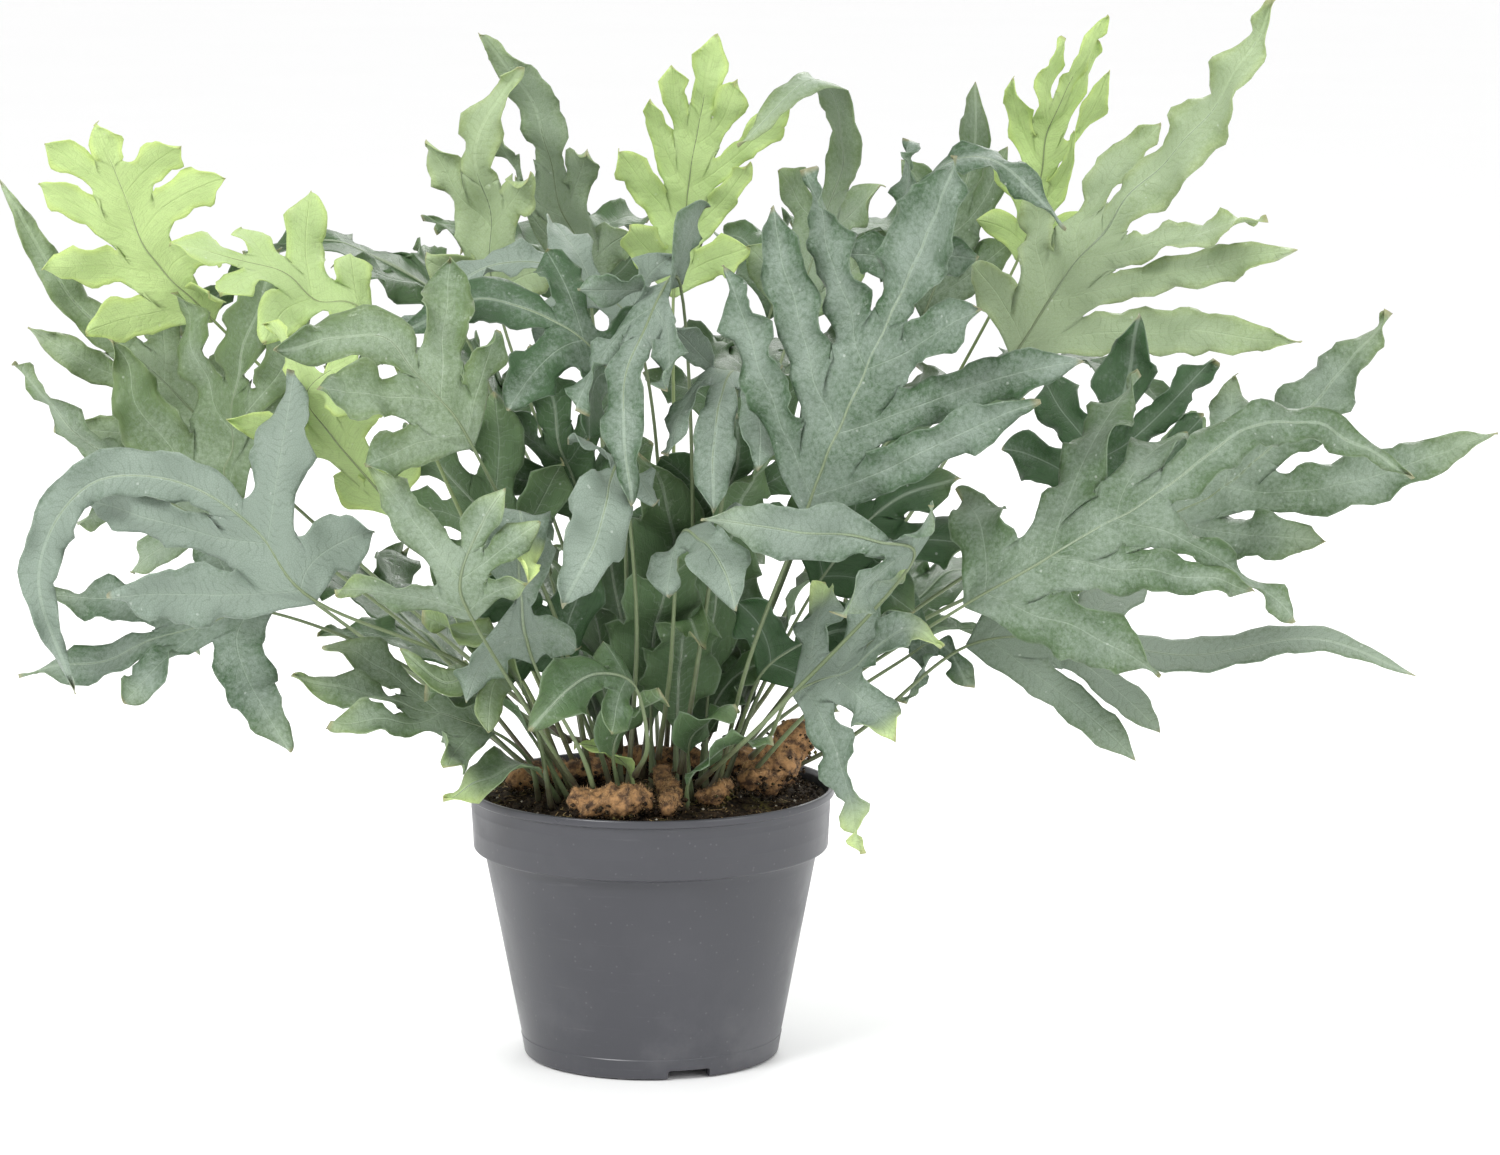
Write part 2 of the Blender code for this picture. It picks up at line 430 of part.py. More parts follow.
# the far side of the crown repeats the same habit, one frond after another around the back
for k in range(BACK_FRONDS):
    share = (k + 0.5) / BACK_FRONDS
    angle = math.radians(18.0 + 150.0 * share)
    lift = (15.0, 4.5, 21.0)[k % 3]
    reach = (18.5, 18.0, 15.0)[k % 3]
    out = np.array([math.cos(angle), math.sin(angle) * 0.95, 0.0])
    foot = out * (3.6 + 0.8 * (k % 2)) + np.array([0.5, 0.6, 0.0])
    rise = np.array([0.0, 0.0, 1.0])
    hub = foot + out * reach * 0.42 + rise * lift
    points = [tuple(foot + out * reach * 0.14 + rise * lift * 0.5), tuple(hub)]
    blade = [tuple(hub + out * reach * 0.34 + rise * 3.6), tuple(hub + out * reach * 0.66 + rise * 3.4),
             tuple(hub + out * reach * 0.98 - rise * 0.5)]
    FRONDS.append([f"frond_back_{k + 1}", "mature", (foot[0], foot[1]), 2.2, 1.1, 2.25, 0.60, 0.2,
                   points, blade, [(None, None)] * (3 if k % 2 else 2)])


def unit(v):
    v = np.asarray(v, float)
    return v / np.maximum(np.linalg.norm(v, axis=-1, keepdims=True), 1e-9)


def ease(x):
    x = np.clip(x, 0.0, 1.0)
    return x * x * (3.0 - 2.0 * x)


def run_through(points):
    """A smooth curve through the points, with the distance along it."""
    p = np.array(points, float)
    p = np.vstack([2 * p[0] - p[1], p, 2 * p[-1] - p[-2]])
    t = np.linspace(0.0, 1.0, 24, endpoint=False)[:, None]
    out = []
    for k in range(1, len(p) - 2):
        a, b, c, d = p[k - 1:k + 3]
        out.append(0.5 * (2 * b + (c - a) * t + (2 * a - 5 * b + 4 * c - d) * t ** 2
                          + (3 * b - a - 3 * c + d) * t ** 3))
    curve = np.vstack(out + [p[-2:-1]])
    return curve, np.r_[0.0, np.cumsum(np.linalg.norm(np.diff(curve, axis=0), axis=1))]


def at(curve, along, where):
    where = np.atleast_1d(where)
    return np.stack([np.interp(where, along, curve[:, k]) for k in range(3)], 1)


def carry(first, tangents):
    """Take a side direction along a curve without spinning it."""
    out = []
    side = first
    for t in tangents:
        side = unit(side - t * np.dot(side, t))
        out.append(side)
    return np.array(out)


def side_directions(curve, along, tangent, stations, pairs):
    """The direction across the blade all along the frond, set by where its lobe tips lie."""
    known = []
    for i, (a, b) in enumerate(pairs):
        here = at(curve, along, stations[i])[0]
        t = unit(at(tangent, along, stations[i]))[0]
        if a is None and b is None:
            continue
        side = (here if a is None else np.array(a, float)) - (here if b is None else np.array(b, float))
        side = side - t * np.dot(side, t)
        if np.linalg.norm(side) > 0.3:
            known.append((stations[i], unit(side)))
    if not known:
        middle = len(along) // 2
        side = np.cross(tangent[middle], [0.0, 0.0, 1.0])
        known = [(along[middle], unit(side if np.linalg.norm(side) > 0.1 else np.array([1.0, 0.0, 0.0])))]
    start = int(np.argmin(np.abs(along - known[0][0])))
    after = carry(known[0][1], tangent[start:])
    before = carry(known[0][1], tangent[:start + 1][::-1])[::-1]
    across = np.vstack([before[:-1], after])
    turns = [0.0]
    for where, side in known[1:]:
        j = int(np.argmin(np.abs(along - where)))
        normal = np.cross(across[j], tangent[j])
        turn = math.atan2(np.dot(side, normal), np.dot(side, across[j]))
        turns.append(max(-1.2, min(1.2, turn - turns[-1])) + turns[-1])
    turn = np.interp(along, [where for where, side in known], turns)[:, None]
    return across * np.cos(turn) + np.cross(across, tangent) * np.sin(turn)


def lobe_outline(x):
    x = np.clip(x, 0.0, 1.0)
    neck = 1.0 - 0.3 * np.clip(1.0 - x / 0.35, 0.0, 1.0) ** 2
    return neck * (1.0 - np.clip((x - 0.3) / 0.7, 0.0, 1.0) ** 2.3)


def lobe_line(start, tip, out, t, sag):
    """The middle line of a lobe, the direction across it and the distance along it."""
    length = np.linalg.norm(tip - start)
    bend = start + unit(0.75 * out + 0.66 * t) * length * 0.36
    fall = unit(unit(tip - bend) + np.array([0.0, 0.0, -sag]))
    near = tip - fall * length * 0.33
    s = np.linspace(0.0, 1.0, 33)[:, None]
    path = (1 - s) ** 3 * start + 3 * (1 - s) ** 2 * s * bend
    path = path + 3 * (1 - s) * s ** 2 * near + s ** 3 * tip
    heading = unit(np.gradient(path, axis=0))
    broad = carry(unit(t - heading[0] * np.dot(t, heading[0])), heading)
    return path, broad, np.r_[0.0, np.cumsum(np.linalg.norm(np.diff(path, axis=0), axis=1))]


def clear_of(spot, lines):
    """Distance from a point to the nearest of some lines."""
    return min(np.linalg.norm(line - spot, axis=1).min() for line in lines)


def frond_sheet(foot, row):
    """Middle surface of a frond in centimetres: points, faces and half thickness at each point."""
    name, tone, place, width, web, end_width, split, sag, stalk, blade, pairs = row
    width, end_width = width * LOBE_WIDTH_SCALE, end_width * LOBE_WIDTH_SCALE
    curve, along = run_through([foot] + list(stalk) + list(blade))
    tangent = unit(np.gradient(curve, axis=0))
    hub = along[len(stalk) * 24]
    last = hub + (along[-1] - hub) * split
    seams = np.linspace(hub, last, len(pairs) + 1)
    stations = seams[:-1] + 0.35 * np.diff(seams)
    across = side_directions(curve, along, tangent, stations, pairs)
    stem = STALK_DIAMETER / CM / 2
    leaf = LEAF_THICKNESS / CM / 2
    points, half, faces, named = [], [], [], {}

    def put(key, p, h):
        if key not in named:
            named[key] = len(points)
            points.append(p)
            half.append(h)
        return named[key]

    def face(side, *corners):
        faces.append(list(corners) if side > 0 else list(corners)[::-1])

    def rib(u):
        return stem * (1.0 - 0.55 * u / along[-1])

    lobes = {}
    for i, pair in enumerate(pairs):
        for side in (1, -1):
            start = at(curve, along, stations[i])[0]
            t = unit(at(tangent, along, stations[i]))[0]
            out = unit(at(across, along, stations[i])[0])
            tip, other = (pair if side > 0 else pair[::-1])
            if tip is None and other is None:
                length = BACK_LOBE_LENGTH * (1.0 - 0.45 * abs(i / max(len(pairs) - 1, 1) - 0.35))
                tip = start + length * (0.78 * side * out + 0.62 * t) - np.array([0.0, 0.0, 1.0])
            elif tip is None:
                away = np.array(other, float) - start
                tip = start + away - 2.0 * np.dot(away, out) * out
            lobes[i, side] = lobe_line(start, np.array(tip, float), side * out, t, sag)
    end_line = at(curve, along, np.linspace(last, along[-1], 33))

    def reach_of(i, side):
        """How far out along a lobe the web reaches."""
        shortest = lobes[min(i, len(pairs) - 1), side][2][-1]
        return min(WEB_REACH * web, 0.3 * shortest)

    def hollow(i, side):
        """The bottom of the cut between two lobes, or of the one before the end lobe."""
        if i == 0:
            return at(curve, along, hub)[0] + side * unit(at(across, along, hub)[0]) * stem
        path = lobes[i - 1, side][0]
        if i < len(pairs):
            line, gone = lobes[i, side][0], lobes[i, side][2]
        else:
            line, gone = end_line, np.linspace(0.0, along[-1] - last, 33)
        spot = at(line, gone, reach_of(i, side))[0]
        return (spot + path[np.argmin(np.linalg.norm(path - spot, axis=1))]) / 2.0

    def seam_point(i, side):
        u = seams[i]
        if side == 0:
            return put(("seam", i, 0), at(curve, along, u)[0], rib(u))
        return put(("seam", i, side), hollow(i, side), leaf)

    cuts = np.linspace(0.0, hub, 6)
    for side in (1, -1):
        ring = []
        for k, u in enumerate(cuts[:-1]):
            spot, out = at(curve, along, u)[0], unit(at(across, along, u)[0])
            ring.append((put(("stalk", k, 0), spot, rib(u)),
                         put(("stalk", k, side), spot + side * out * stem * 0.95, 0.4 * stem)))
        ring.append((seam_point(0, 0), seam_point(0, side)))
        for (a, b), (c, d) in zip(ring[:-1], ring[1:]):
            face(side, a, b, d, c)
    for (i, side), (path, broad, far) in lobes.items():
        beside = [lobes[k, side][0] for k in (i - 1, i + 1) if (k, side) in lobes]
        beside.append(end_line if i + 1 == len(pairs) else end_line[-1:])
        root = reach_of(i, side) / far[-1]
        low, high = seam_point(i, side), seam_point(i + 1, side)
        face(side, seam_point(i, 0), low, high, seam_point(i + 1, 0))
        for k, x in ((1, 0.36), (2, 0.72)):
            share = root + (1.0 - root) * x
            spot = at(path, far, share * far[-1])[0]
            half_width = min(width / 2 * lobe_outline(x), LOBE_SPACING * clear_of(spot, beside))
            wide = unit(at(broad, far, share * far[-1])[0]) * half_width
            a = put(("lobe", i, side, k, 0), spot - wide, leaf)
            b = put(("lobe", i, side, k, 1), spot + wide, leaf)
            face(side, low, a, b, high)
            low, high = a, b
        face(side, low, put(("tip", i, side), path[-1], 0.7 * leaf), high)
    for side in (1, -1):
        rib_point, edge_point = seam_point(len(pairs), 0), seam_point(len(pairs), side)
        for k in (1, 2, 3):
            x = (0.0, 0.26, 0.52, 0.78)[k]
            u = last + (along[-1] - last) * x
            out = unit(at(across, along, u)[0])
            wide = web + (end_width / 2 - web) * ease(x / 0.3)
            wide = wide * (1.0 - np.clip((x - 0.25) / 0.75, 0.0, 1.0) ** 2.3)
            spot = at(curve, along, u)[0]
            if pairs:
                wide = min(wide, LOBE_SPACING * clear_of(spot, [lobes[len(pairs) - 1, side][0]]))
            a = put(("end", k, 0), spot, rib(u))
            b = put(("end", k, side), spot + side * out * wide, leaf)
            face(side, rib_point, edge_point, b, a)
            rib_point, edge_point = a, b
        face(side, rib_point, edge_point, put(("end tip",), curve[-1], 0.7 * leaf))
    return np.array(points), faces, np.array(half)


def split_face(points, f):
    """A four-sided face as two triangles, along the diagonal across which it bends less."""
    if len(f) == 3:
        return [f]
    a, b, c, d = f
    splits = ([[a, b, c], [a, c, d]], [[a, b, d], [b, c, d]])
    flat = []
    for split in splits:
        facing = [unit(np.cross(points[v] - points[u], points[w] - points[u])) for u, v, w in split]
        flat.append(np.dot(facing[0], facing[1]))
    return splits[0] if flat[0] >= flat[1] else splits[1]


def thickened(points, faces, half):
    """Close a sheet into a body: an upper and a lower skin joined around the margin.

    A twisted four-sided face is split the same way on both skins, so that they stay parallel.
    """
    faces = [part for f in faces for part in split_face(points, f)]
    normals = np.zeros_like(points)
    for f in faces:
        corners = points[f]
        middle = corners.mean(axis=0)
        for a, b in zip(corners, np.roll(corners, -1, axis=0)):
            cross = np.cross(a - middle, b - middle)
            normals[f] += cross
    normals = unit(normals) * half[:, None]
    count = len(points)
    body = [list(f) for f in faces] + [[v + count for v in f[::-1]] for f in faces]
    sides = {}
    for f in faces:
        for a, b in zip(f, f[1:] + f[:1]):
            sides[(a, b)] = True
    for a, b in sides:
        if (b, a) not in sides:
            body.append([b, a, a + count, b + count])
    return np.vstack([points + normals, points - normals]), body


def settled(points, foot, move, span):
    """Lean, turn and lift a frond from its foot, more the further out a point lies."""
    lean, turn, lift = move
    away = points - foot
    share = np.clip(np.linalg.norm(away, axis=1) / span, 0.0, 1.3)[:, None] ** 1.3
    angle = math.radians(turn) * share[:, 0]
    c, s = np.cos(angle), np.sin(angle)
    out = away.copy()
    out[:, 0] = away[:, 0] * c - away[:, 1] * s
    out[:, 1] = away[:, 0] * s + away[:, 1] * c + lean * share[:, 0]
    out[:, 2] = away[:, 2] + lift * share[:, 0]
    return foot + out


def surface_under(x, y):
    """Height of the soil, or of a rhizome lying there, in metres."""
    top = soil_height(x, y)
    for px, py, pz, radius in rhizome_lines:
        reach = math.hypot(x - px, y - py)
        if reach < radius * 1.3:
            top = max(top, pz + radius * 1.06)
    return top


def tree_of(points, faces):
    return BVHTree.FromPolygons([tuple(p) for p in points], [tuple(f) for f in faces])


def solid_tree(thing):
    bpy.context.view_layer.update()
    mesh = thing.evaluated_get(bpy.context.evaluated_depsgraph_get()).to_mesh()
    place = thing.matrix_world
    tree = tree_of([place @ v.co for v in mesh.vertices], [p.vertices for p in mesh.polygons])
    thing.evaluated_get(bpy.context.evaluated_depsgraph_get()).to_mesh_clear()
    return tree


# every frond starts where its row puts it; from these changes of lean, turn and lift, gentlest first, it takes
# the first that is clear of all the pieces before it
moves = []
for lean in np.arange(-9.0, 9.1, 1.0):
    for turn in (-20.0, -15.0, -10.0, -5.0, 0.0, 5.0, 10.0, 15.0, 20.0):
        for lift in (-2.0, -1.0, 0.0, 1.0, 2.0):
            moves.append((abs(lean) / 3.0 + abs(turn) / 4.0 + abs(lift) / 0.8, lean, turn, lift))
moves.sort()
placed = [solid_tree(thing) for thing in part.objects]
stretch = np.array([PLANT_WIDTH / LAYOUT_WIDTH, PLANT_DEPTH / LAYOUT_DEPTH, PLANT_HEIGHT / LAYOUT_HEIGHT]) / CM
tones = {
    "mature": material("frond_mature", (0.13, 0.24, 0.12), 0.55),
    "lime": material("frond_young", (0.36, 0.52, 0.13), 0.5),
}
for row in FRONDS:
    name, tone, place = row[:3]
    fx, fy = place[0] * pot_scale, place[1] * pot_scale
    fz = surface_under(fx, fy) + FIT_GAP + STALK_DIAMETER * 0.6
    scaled = list(row)
    for column in (8, 9):
        scaled[column] = [np.array(p) * stretch + np.array([0.0, 0.0, soil_edge / CM]) for p in row[column]]
    scaled[10] = [tuple(None if p is None else np.array(p) * stretch + np.array([0.0, 0.0, soil_edge / CM])
                        for p in pair) for pair in row[10]]
    foot = np.array([fx, fy, fz]) / CM
    points, faces, half = frond_sheet(foot, scaled)
    span = 0.8 * np.linalg.norm(np.array(scaled[9][-1]) - foot)
    for effort, lean, turn, lift in moves:
        moved = settled(points, foot, (lean, turn, lift), span)
        guard, guard_faces = thickened(moved, faces, half + FIT_GAP / CM)
        tree = tree_of(guard * CM, guard_faces)
        if not any(tree.overlap(other) for other in placed):
            break
    body, body_faces = thickened(moved, faces, half)
    placed.append(tree_of(body * CM, body_faces))
    mesh = bpy.data.meshes.new(name)
    mesh.from_pydata([tuple(p * CM) for p in body], [], body_faces)
    mesh.validate()
    mesh.update()
    thing = bpy.data.objects.new(name, mesh)
    keep(thing, tones[tone])
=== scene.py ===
# Potted fern: a grey nursery pot of soil, furry creeping rhizomes and a wide crown of lobed fronds.
import math

import bmesh
import bpy
import numpy as np
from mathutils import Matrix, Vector, noise
from mathutils.bvhtree import BVHTree
from mathutils.kdtree import KDTree


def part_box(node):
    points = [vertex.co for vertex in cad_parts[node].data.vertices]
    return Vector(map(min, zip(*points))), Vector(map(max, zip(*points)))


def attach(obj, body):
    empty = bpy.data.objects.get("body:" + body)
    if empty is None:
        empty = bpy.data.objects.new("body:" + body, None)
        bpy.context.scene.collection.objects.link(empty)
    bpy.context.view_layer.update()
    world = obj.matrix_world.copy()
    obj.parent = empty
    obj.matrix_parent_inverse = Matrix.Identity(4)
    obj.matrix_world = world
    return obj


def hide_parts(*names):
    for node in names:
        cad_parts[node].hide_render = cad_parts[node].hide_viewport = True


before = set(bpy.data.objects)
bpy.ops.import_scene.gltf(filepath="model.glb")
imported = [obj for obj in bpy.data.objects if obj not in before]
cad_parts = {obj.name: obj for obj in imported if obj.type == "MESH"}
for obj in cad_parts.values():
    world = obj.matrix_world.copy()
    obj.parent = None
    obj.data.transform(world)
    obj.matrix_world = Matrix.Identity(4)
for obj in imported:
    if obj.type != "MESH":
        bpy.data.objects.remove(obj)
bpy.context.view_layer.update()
MM = 0.001
CM = 0.01


# ---- Pot ----
# A nursery pot moulded in one shot from dark grey polypropylene: thin wall, rolled lip, stepped band so
# that pots stack, a foot ring with three notches and a raised floor with drain holes.  It only stands.
pot_low, pot_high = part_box("pot")
POT_HEIGHT = pot_high[2]
RIM_RADIUS = (pot_high[0] - pot_low[0]) / 2
BASE_RADIUS = RIM_RADIUS * 0.689
BAND_LOW = POT_HEIGHT - 29 * MM
WALL = 1.4 * MM
STEP = 5.5 * MM
LIP = 2.8 * MM
NOTCH_WIDTH = 20 * MM
NOTCH_HEIGHT = 4.2 * MM
FLOOR_RAISE = 4.5 * MM
POT_GREY = (0.046, 0.047, 0.055)
POT_GREY_DUSTY = (0.13, 0.13, 0.14)
POT_STEPS = 192


def round_corner(outline, radius, points=4):
    """Ease each marked corner of a (radius, height) outline with a short arc."""
    out = []
    for k, (r, z, ease_by) in enumerate(outline):
        if ease_by <= 0 or k in (0, len(outline) - 1):
            out.append((r, z))
            continue
        here = np.array([r, z])
        before = np.array(outline[k - 1][:2]) - here
        after = np.array(outline[k + 1][:2]) - here
        reach = min(ease_by * radius, 0.45 * np.linalg.norm(before), 0.45 * np.linalg.norm(after))
        a = here + before / np.linalg.norm(before) * reach
        b = here + after / np.linalg.norm(after) * reach
        for t in np.linspace(0, 1, points):
            out.append(tuple((1 - t) ** 2 * a + 2 * t * (1 - t) * here + t ** 2 * b))
    return out


def turned_mesh(name, outline, steps):
    """Turn an outline that starts and ends on the axis into a closed mesh."""
    angles = np.linspace(0, math.tau, steps, endpoint=False)
    points = [(0.0, 0.0, outline[0][1]), (0.0, 0.0, outline[-1][1])]
    rows = []
    for r, z in outline[1:-1]:
        rows.append(len(points))
        points += [(r * math.cos(a), r * math.sin(a), z) for a in angles]
    faces = []
    for k in range(steps):
        n = (k + 1) % steps
        faces.append((0, rows[0] + k, rows[0] + n))
        faces.append((1, rows[-1] + n, rows[-1] + k))
        for a, b in zip(rows[:-1], rows[1:]):
            faces.append((a + k, b + k, b + n, a + n))
    mesh = bpy.data.meshes.new(name)
    mesh.from_pydata(points, [], faces)
    mesh.update()
    return mesh


def show(name, mesh):
    thing = bpy.data.objects.new(name, mesh)
    bpy.context.scene.collection.objects.link(thing)
    return thing


slope = (RIM_RADIUS - STEP - 3 * MM - BASE_RADIUS) / BAND_LOW
band_bottom = BASE_RADIUS + slope * BAND_LOW + STEP
band_top = RIM_RADIUS - LIP * 0.6
body_top = BASE_RADIUS + slope * BAND_LOW
pot_outline = round_corner([
    (0.0, 1.6 * MM, 0), (29 * MM, 1.6 * MM, 1), (32 * MM, FLOOR_RAISE + 1.6 * MM, 1),
    (BASE_RADIUS + slope * 6 * MM - WALL, FLOOR_RAISE + 1.6 * MM, 1),
    (body_top - WALL - 0.1 * MM, BAND_LOW - 1 * MM, 1), (band_bottom - WALL, BAND_LOW + 2 * MM, 1),
    (band_top - WALL, POT_HEIGHT - 2.2 * MM, 1), (band_top - WALL + 0.8 * MM, POT_HEIGHT - 0.1 * MM, 1),
    (RIM_RADIUS - 0.3 * MM, POT_HEIGHT, 1.6), (RIM_RADIUS, POT_HEIGHT - 3.2 * MM, 1),
    (RIM_RADIUS - 0.5 * MM, POT_HEIGHT - 3.7 * MM, 0.5), (band_top - 0.1 * MM, POT_HEIGHT - 4.0 * MM, 0.5),
    # two faint witness lines where the mould halves of the band meet
    (band_top - 0.33 * MM, POT_HEIGHT - 9.0 * MM, 0), (band_top - 0.28 * MM, POT_HEIGHT - 9.3 * MM, 0),
    (band_top - 0.37 * MM, POT_HEIGHT - 9.7 * MM, 0), (band_top - 0.88 * MM, POT_HEIGHT - 18.6 * MM, 0),
    (band_top - 0.84 * MM, POT_HEIGHT - 18.9 * MM, 0), (band_top - 0.93 * MM, POT_HEIGHT - 19.3 * MM, 0),
    (band_bottom, BAND_LOW + 0.6 * MM, 1.2), (body_top + 1.2 * MM, BAND_LOW - 0.4 * MM, 1),
    (body_top, BAND_LOW - 3.4 * MM, 1.5),
    (BASE_RADIUS + slope * 9.6 * MM + 0.05 * MM, 9.6 * MM, 0),
    (BASE_RADIUS + slope * 9.3 * MM + 0.35 * MM, 9.2 * MM, 0),
    (BASE_RADIUS + slope * 8.8 * MM + 0.3 * MM, 8.8 * MM, 0),
    (BASE_RADIUS + 0.5 * MM, 0.6 * MM, 0.8), (BASE_RADIUS - 0.6 * MM, 0.0, 0.5),
    (BASE_RADIUS - 4.5 * MM, 0.0, 0.5), (BASE_RADIUS - 5.5 * MM, FLOOR_RAISE, 1),
    (33 * MM, FLOOR_RAISE, 1), (29.4 * MM, 0.0, 1), (0.0, 0.0, 0)], 0.9 * MM)
pot = show("nursery_pot", turned_mesh("nursery_pot", pot_outline, POT_STEPS))


def cut_away(thing, name, size, place, turn, round_hole=False):
    """Cut a rounded notch or a drain hole and apply the cut."""
    shape = bmesh.new()
    if round_hole:
        bmesh.ops.create_cone(shape, cap_ends=True, segments=40, radius1=size[0] / 2, radius2=size[0] / 2,
                              depth=size[2])
    else:
        bmesh.ops.create_cube(shape, size=1.0)
        bmesh.ops.scale(shape, vec=size, verts=shape.verts)
        bmesh.ops.bevel(shape, geom=shape.edges, offset=1.1 * MM, segments=3, profile=0.5, affect="EDGES")
    mesh = bpy.data.meshes.new(name)
    shape.to_mesh(mesh)
    shape.free()
    cutter = show(name, mesh)
    cutter.location = place
    cutter.rotation_euler = (0.0, 0.0, turn)
    bpy.context.view_layer.update()
    cut = thing.modifiers.new(name, "BOOLEAN")
    cut.operation = "DIFFERENCE"
    cut.solver = "EXACT"
    cut.object = cutter
    apply_modifiers(thing)
    bpy.data.objects.remove(cutter, do_unlink=True)


def apply_modifiers(thing):
    done = bpy.data.meshes.new_from_object(thing.evaluated_get(bpy.context.evaluated_depsgraph_get()))
    old = thing.data
    thing.modifiers.clear()
    thing.data = done
    bpy.data.meshes.remove(old)


hole_ring = (30 * MM + BASE_RADIUS - 5 * MM) / 2
for k in range(6):
    angle = math.tau * (k + 0.35) / 6
    spot = (hole_ring * math.cos(angle), hole_ring * math.sin(angle), FLOOR_RAISE + 0.8 * MM)
    cut_away(pot, "drain_hole", (10 * MM, 10 * MM, 6 * MM), spot, 0.0, round_hole=True)
for k in range(3):
    angle = math.radians(-72.0) + math.tau * k / 3
    reach = BASE_RADIUS - 2.5 * MM
    spot = (reach * math.cos(angle), reach * math.sin(angle), 0.0)
    cut_away(pot, "foot_notch", (15 * MM, NOTCH_WIDTH, 2 * NOTCH_HEIGHT), spot, angle)
pot.data.shade_smooth()
pot.data.set_sharp_from_angle(angle=math.radians(38))


class Wiring:
    """A short way to lay shader nodes: make a node, set its inputs, link what is already a socket."""

    def __init__(self, tree):
        self.tree = tree

    def __call__(self, kind, settings=None, **inputs):
        node = self.tree.nodes.new("ShaderNode" + kind)
        for key, value in (settings or {}).items():
            setattr(node, key, value)
        for key, value in inputs.items():
            socket = node.inputs[int(key[1:])] if key[0] == "i" and key[1:].isdigit() else node.inputs[key]
            self.feed(socket, value)
        return node

    def feed(self, socket, value):
        if isinstance(value, bpy.types.NodeSocket):
            self.tree.links.new(value, socket)
        elif isinstance(value, (tuple, list)) and len(value) == 3 and len(socket.default_value) == 4:
            socket.default_value = (*value, 1.0)
        else:
            socket.default_value = value

    def math(self, operation, a, b=0.0):
        return self("Math", {"operation": operation}, i0=a, i1=b).outputs[0]

    def ramp(self, value, low, high, to_low=0.0, to_high=1.0):
        made = self("MapRange", {"interpolation_type": "SMOOTHSTEP"}, i0=value, i1=low, i2=high, i3=to_low,
                    i4=to_high)
        return made.outputs[0]

    def mix(self, share, a, b, blend="MIX"):
        node = self("Mix", {"data_type": "RGBA", "blend_type": blend})
        self.feed(node.inputs[0], share)
        self.feed(node.inputs[6], a)
        self.feed(node.inputs[7], b)
        return node.outputs[2]


def shader_group(name, wants, gives):
    """An empty node group with named inputs and outputs."""
    tree = bpy.data.node_groups.new(name, "ShaderNodeTree")
    kinds = {"value": "NodeSocketFloat", "colour": "NodeSocketColor", "vector": "NodeSocketVector"}
    for label, kind, start in wants:
        made = tree.interface.new_socket(name=label, in_out="INPUT", socket_type=kinds[kind])
        if start is not None:
            made.default_value = (*start, 1.0) if kind == "colour" else start
    for label, kind in gives:
        tree.interface.new_socket(name=label, in_out="OUTPUT", socket_type=kinds[kind])
    wire = Wiring(tree)
    return tree, wire, tree.nodes.new("NodeGroupInput").outputs, tree.nodes.new("NodeGroupOutput").inputs


def use_group(wire, tree, **inputs):
    node = wire.tree.nodes.new("ShaderNodeGroup")
    node.node_tree = tree
    for key, value in inputs.items():
        wire.feed(node.inputs[key.replace("_", " ")], value)
    return node.outputs


def finish(name):
    """A new material with an empty tree and its output."""
    made = bpy.data.materials.new(name)
    made.use_nodes = True
    made.node_tree.nodes.clear()
    return made, Wiring(made.node_tree), made.node_tree.nodes.new("ShaderNodeOutputMaterial")


# dust: pale dirt that gathers in soft patches and as fine specks; used on the pot and on the soil
dust_group, wire, given, out = shader_group(
    "dust", [("Position", "vector", None), ("Patch Size", "value", 40.0), ("Speck Size", "value", 600.0)],
    [("Patches", "value"), ("Specks", "value")])
patches = wire("TexNoise", None, Vector=given["Position"], Scale=given["Patch Size"], Detail=6.0,
               Roughness=0.62)
wire.feed(out["Patches"], wire.ramp(patches.outputs["Fac"], 0.44, 0.72))
specks = wire("TexVoronoi", None, Vector=given["Position"], Scale=given["Speck Size"], Randomness=1.0)
chance = wire("SeparateColor", None, i0=specks.outputs["Color"])
small = wire.ramp(specks.outputs["Distance"], 0.16, 0.26, 1.0, 0.0)
wire.feed(out["Specks"], wire.math("MULTIPLY", small, wire.ramp(chance.outputs[0], 0.86, 0.90)))

plastic, wire, end = finish("pot_plastic")
place = wire("NewGeometry").outputs["Position"]
dust = use_group(wire, dust_group, Position=place, Patch_Size=26.0, Speck_Size=420.0)
height = wire("SeparateXYZ", None, i0=place).outputs["Z"]
cloud = wire("TexNoise", None, Vector=place, Scale=9.0, Detail=3.0).outputs["Fac"]
colour = wire.mix(wire.ramp(cloud, 0.3, 0.75), POT_GREY, tuple(c * 1.16 for c in POT_GREY))
low_dirt = wire.math("MULTIPLY", wire.ramp(height, 0.0, 0.05, 0.5, 0.08), dust["Patches"])
colour = wire.mix(low_dirt, colour, POT_GREY_DUSTY)
colour = wire.mix(wire.math("MULTIPLY", dust["Specks"], 0.08), colour, (0.4, 0.4, 0.4))
